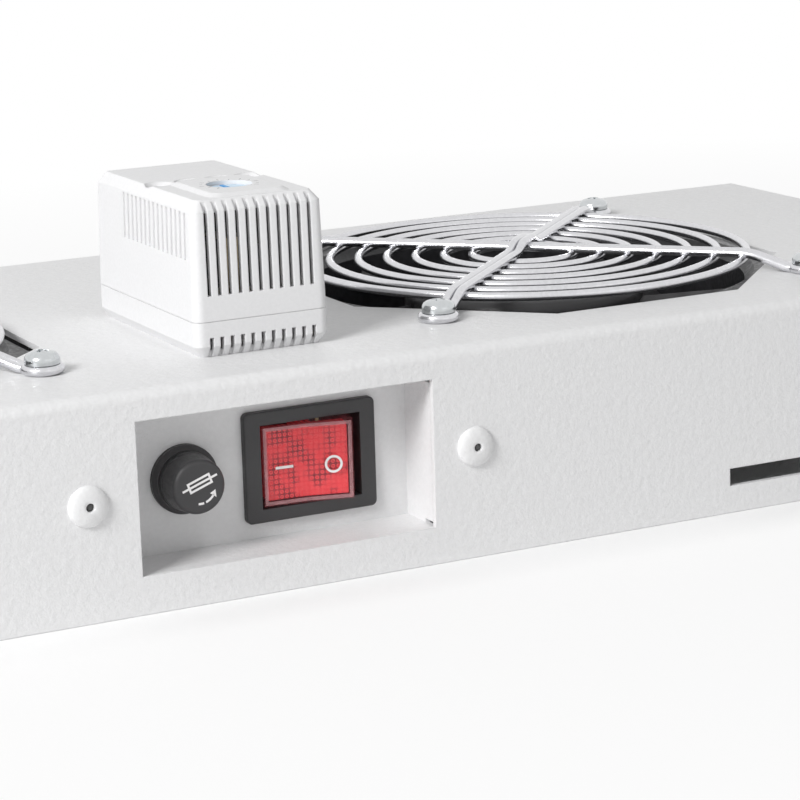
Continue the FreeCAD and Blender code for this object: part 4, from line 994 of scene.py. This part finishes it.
def seen_white(material, share):
    """Mixes plain white into what camera, glossy and transmitted rays see of a stage material."""
    tree = material.node_tree
    output = next(node for node in tree.nodes if node.type == "OUTPUT_MATERIAL")
    shader = tree.nodes["Principled BSDF"]
    path = add_node(material, "ShaderNodeLightPath")
    glow = add_node(material, "ShaderNodeEmission", Color=(1, 1, 1, 1), Strength=1.0)
    seen = add_node(material, "ShaderNodeMath", operation="MAXIMUM")
    link(material, path.outputs["Is Camera Ray"], seen.inputs[0])
    link(material, path.outputs["Is Glossy Ray"], seen.inputs[1])
    also = add_node(material, "ShaderNodeMath", operation="MAXIMUM")
    link(material, seen.outputs[0], also.inputs[0])
    link(material, path.outputs["Is Transmission Ray"], also.inputs[1])
    portion = add_node(material, "ShaderNodeMath", operation="MULTIPLY")
    link(material, share, portion.inputs[1])
    link(material, also.outputs[0], portion.inputs[0])
    mix = add_node(material, "ShaderNodeMixShader")
    link(material, portion.outputs[0], mix.inputs[0])
    link(material, shader.outputs[0], mix.inputs[1])
    link(material, glow.outputs[0], mix.inputs[2])
    link(material, mix.outputs[0], output.inputs["Surface"])


def floor_distance(material, middle, half):
    """How far a point of the floor lies outside the tray's outline."""
    offset = add_node(material, "ShaderNodeVectorMath", operation="SUBTRACT")
    offset.inputs[1].default_value = middle
    link(material, place_coordinates(material), offset.inputs[0])
    away = add_node(material, "ShaderNodeVectorMath", operation="ABSOLUTE")
    link(material, offset.outputs[0], away.inputs[0])
    beyond = add_node(material, "ShaderNodeVectorMath", operation="SUBTRACT")
    beyond.inputs[1].default_value = half
    link(material, away.outputs[0], beyond.inputs[0])
    outside = add_node(material, "ShaderNodeVectorMath", operation="MAXIMUM")
    outside.inputs[1].default_value = (0, 0, 0)
    link(material, beyond.outputs[0], outside.inputs[0])
    distance = add_node(material, "ShaderNodeVectorMath", operation="LENGTH")
    link(material, outside.outputs[0], distance.inputs[0])
    return distance.outputs["Value"]


def floor_share(material, distance):
    """How white the floor is seen: not under the tray, less in its shadow, fully far away."""
    ramp = add_node(material, "ShaderNodeValToRGB")
    stops = ramp.color_ramp.elements
    grey_stop(stops[0], 0.0, 0.0)
    grey_stop(stops[1], SHADOW_EDGE, SHADOW_SHARE)
    grey_stop(stops.new(WHITE_FROM), WHITE_FROM, 1.0)
    link(material, distance, ramp.inputs["Fac"])
    return ramp.outputs["Color"]


def open_below(material, distance):
    """Opens the floor to looks from below, and to soft light that reaches the tray's inside."""
    output = next(node for node in material.node_tree.nodes if node.type == "OUTPUT_MATERIAL")
    surface = output.inputs["Surface"].links[0].from_socket
    geometry = add_node(material, "ShaderNodeNewGeometry")
    clear = add_node(material, "ShaderNodeBsdfTransparent")
    path = add_node(material, "ShaderNodeLightPath")
    under = add_node(material, "ShaderNodeMath", operation="LESS_THAN")
    under.inputs[1].default_value = UNDER_TRAY
    link(material, distance, under.inputs[0])
    inside = add_node(material, "ShaderNodeMath", operation="MULTIPLY")
    link(material, under.outputs[0], inside.inputs[0])
    link(material, path.outputs["Is Diffuse Ray"], inside.inputs[1])
    clear_share = add_node(material, "ShaderNodeMath", operation="MAXIMUM")
    link(material, inside.outputs[0], clear_share.inputs[0])
    link(material, geometry.outputs["Backfacing"], clear_share.inputs[1])
    mix = add_node(material, "ShaderNodeMixShader")
    link(material, clear_share.outputs[0], mix.inputs[0])
    link(material, surface, mix.inputs[1])
    link(material, clear.outputs[0], mix.inputs[2])
    link(material, mix.outputs[0], output.inputs["Surface"])


def make_floor():
    low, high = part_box("tray_shell")

    def build(bm):
        bm.faces.new([bm.verts.new((sx * FLOOR_HALF, sy * FLOOR_HALF, cad_low.z))
                      for sx, sy in CORNERS])

    floor = mesh_object("floor", build, smooth=False)
    grey = (FLOOR_GREY, FLOOR_GREY, FLOOR_GREY)
    material, shader = new_material("floor_white", grey, roughness=0.8)
    varied(material, shader, noise(material, scale=3, detail=2),
           low=(0.89, 0.89, 0.89), high=(0.91, 0.91, 0.91))
    distance = floor_distance(material, mean(low, high), (high - low) / 2 + UP)
    seen_white(material, floor_share(material, distance))
    open_below(material, distance)
    floor.data.materials.append(material)


def make_world():
    world = bpy.data.worlds.new("studio")
    bpy.context.scene.world = world
    world.use_nodes = True
    tree = world.node_tree
    background = tree.nodes["Background"]
    background.inputs["Color"].default_value = (1, 1, 1, 1)
    path = tree.nodes.new("ShaderNodeLightPath")
    seen = tree.nodes.new("ShaderNodeMath")
    seen.operation = "MAXIMUM"
    tree.links.new(path.outputs["Is Camera Ray"], seen.inputs[0])
    tree.links.new(path.outputs["Is Glossy Ray"], seen.inputs[1])
    also = tree.nodes.new("ShaderNodeMath")
    also.operation = "MAXIMUM"
    tree.links.new(seen.outputs[0], also.inputs[0])
    tree.links.new(path.outputs["Is Transmission Ray"], also.inputs[1])
    strength = tree.nodes.new("ShaderNodeMapRange")
    strength.inputs["To Min"].default_value = AMBIENT
    strength.inputs["To Max"].default_value = SEEN_SKY
    tree.links.new(also.outputs[0], strength.inputs["Value"])
    tree.links.new(strength.outputs[0], background.inputs["Strength"])


def add_area(name, place, aim, size, power):
    data = bpy.data.lights.new(name, "AREA")
    data.shape = "RECTANGLE"
    data.size, data.size_y = size
    data.energy = power
    lamp = bpy.data.objects.new(name, data)
    lamp.location = place
    lamp.rotation_mode = "QUATERNION"
    lamp.rotation_quaternion = (Vector(aim) - Vector(place)).to_track_quat("-Z", "Y")
    bpy.context.scene.collection.objects.link(lamp)


make_camera()
make_floor()
make_world()
add_area("key_left", place=(-1.28, -0.55, 0.96), aim=(0, 0.08, 0.02), size=(0.6, 0.6), power=25)
add_area("fill_front", place=(0.6, -1.6, 0.7), aim=(0, 0.05, 0), size=(1.2, 0.8), power=0.5)

bpy.context.scene.view_settings.view_transform = "Standard"
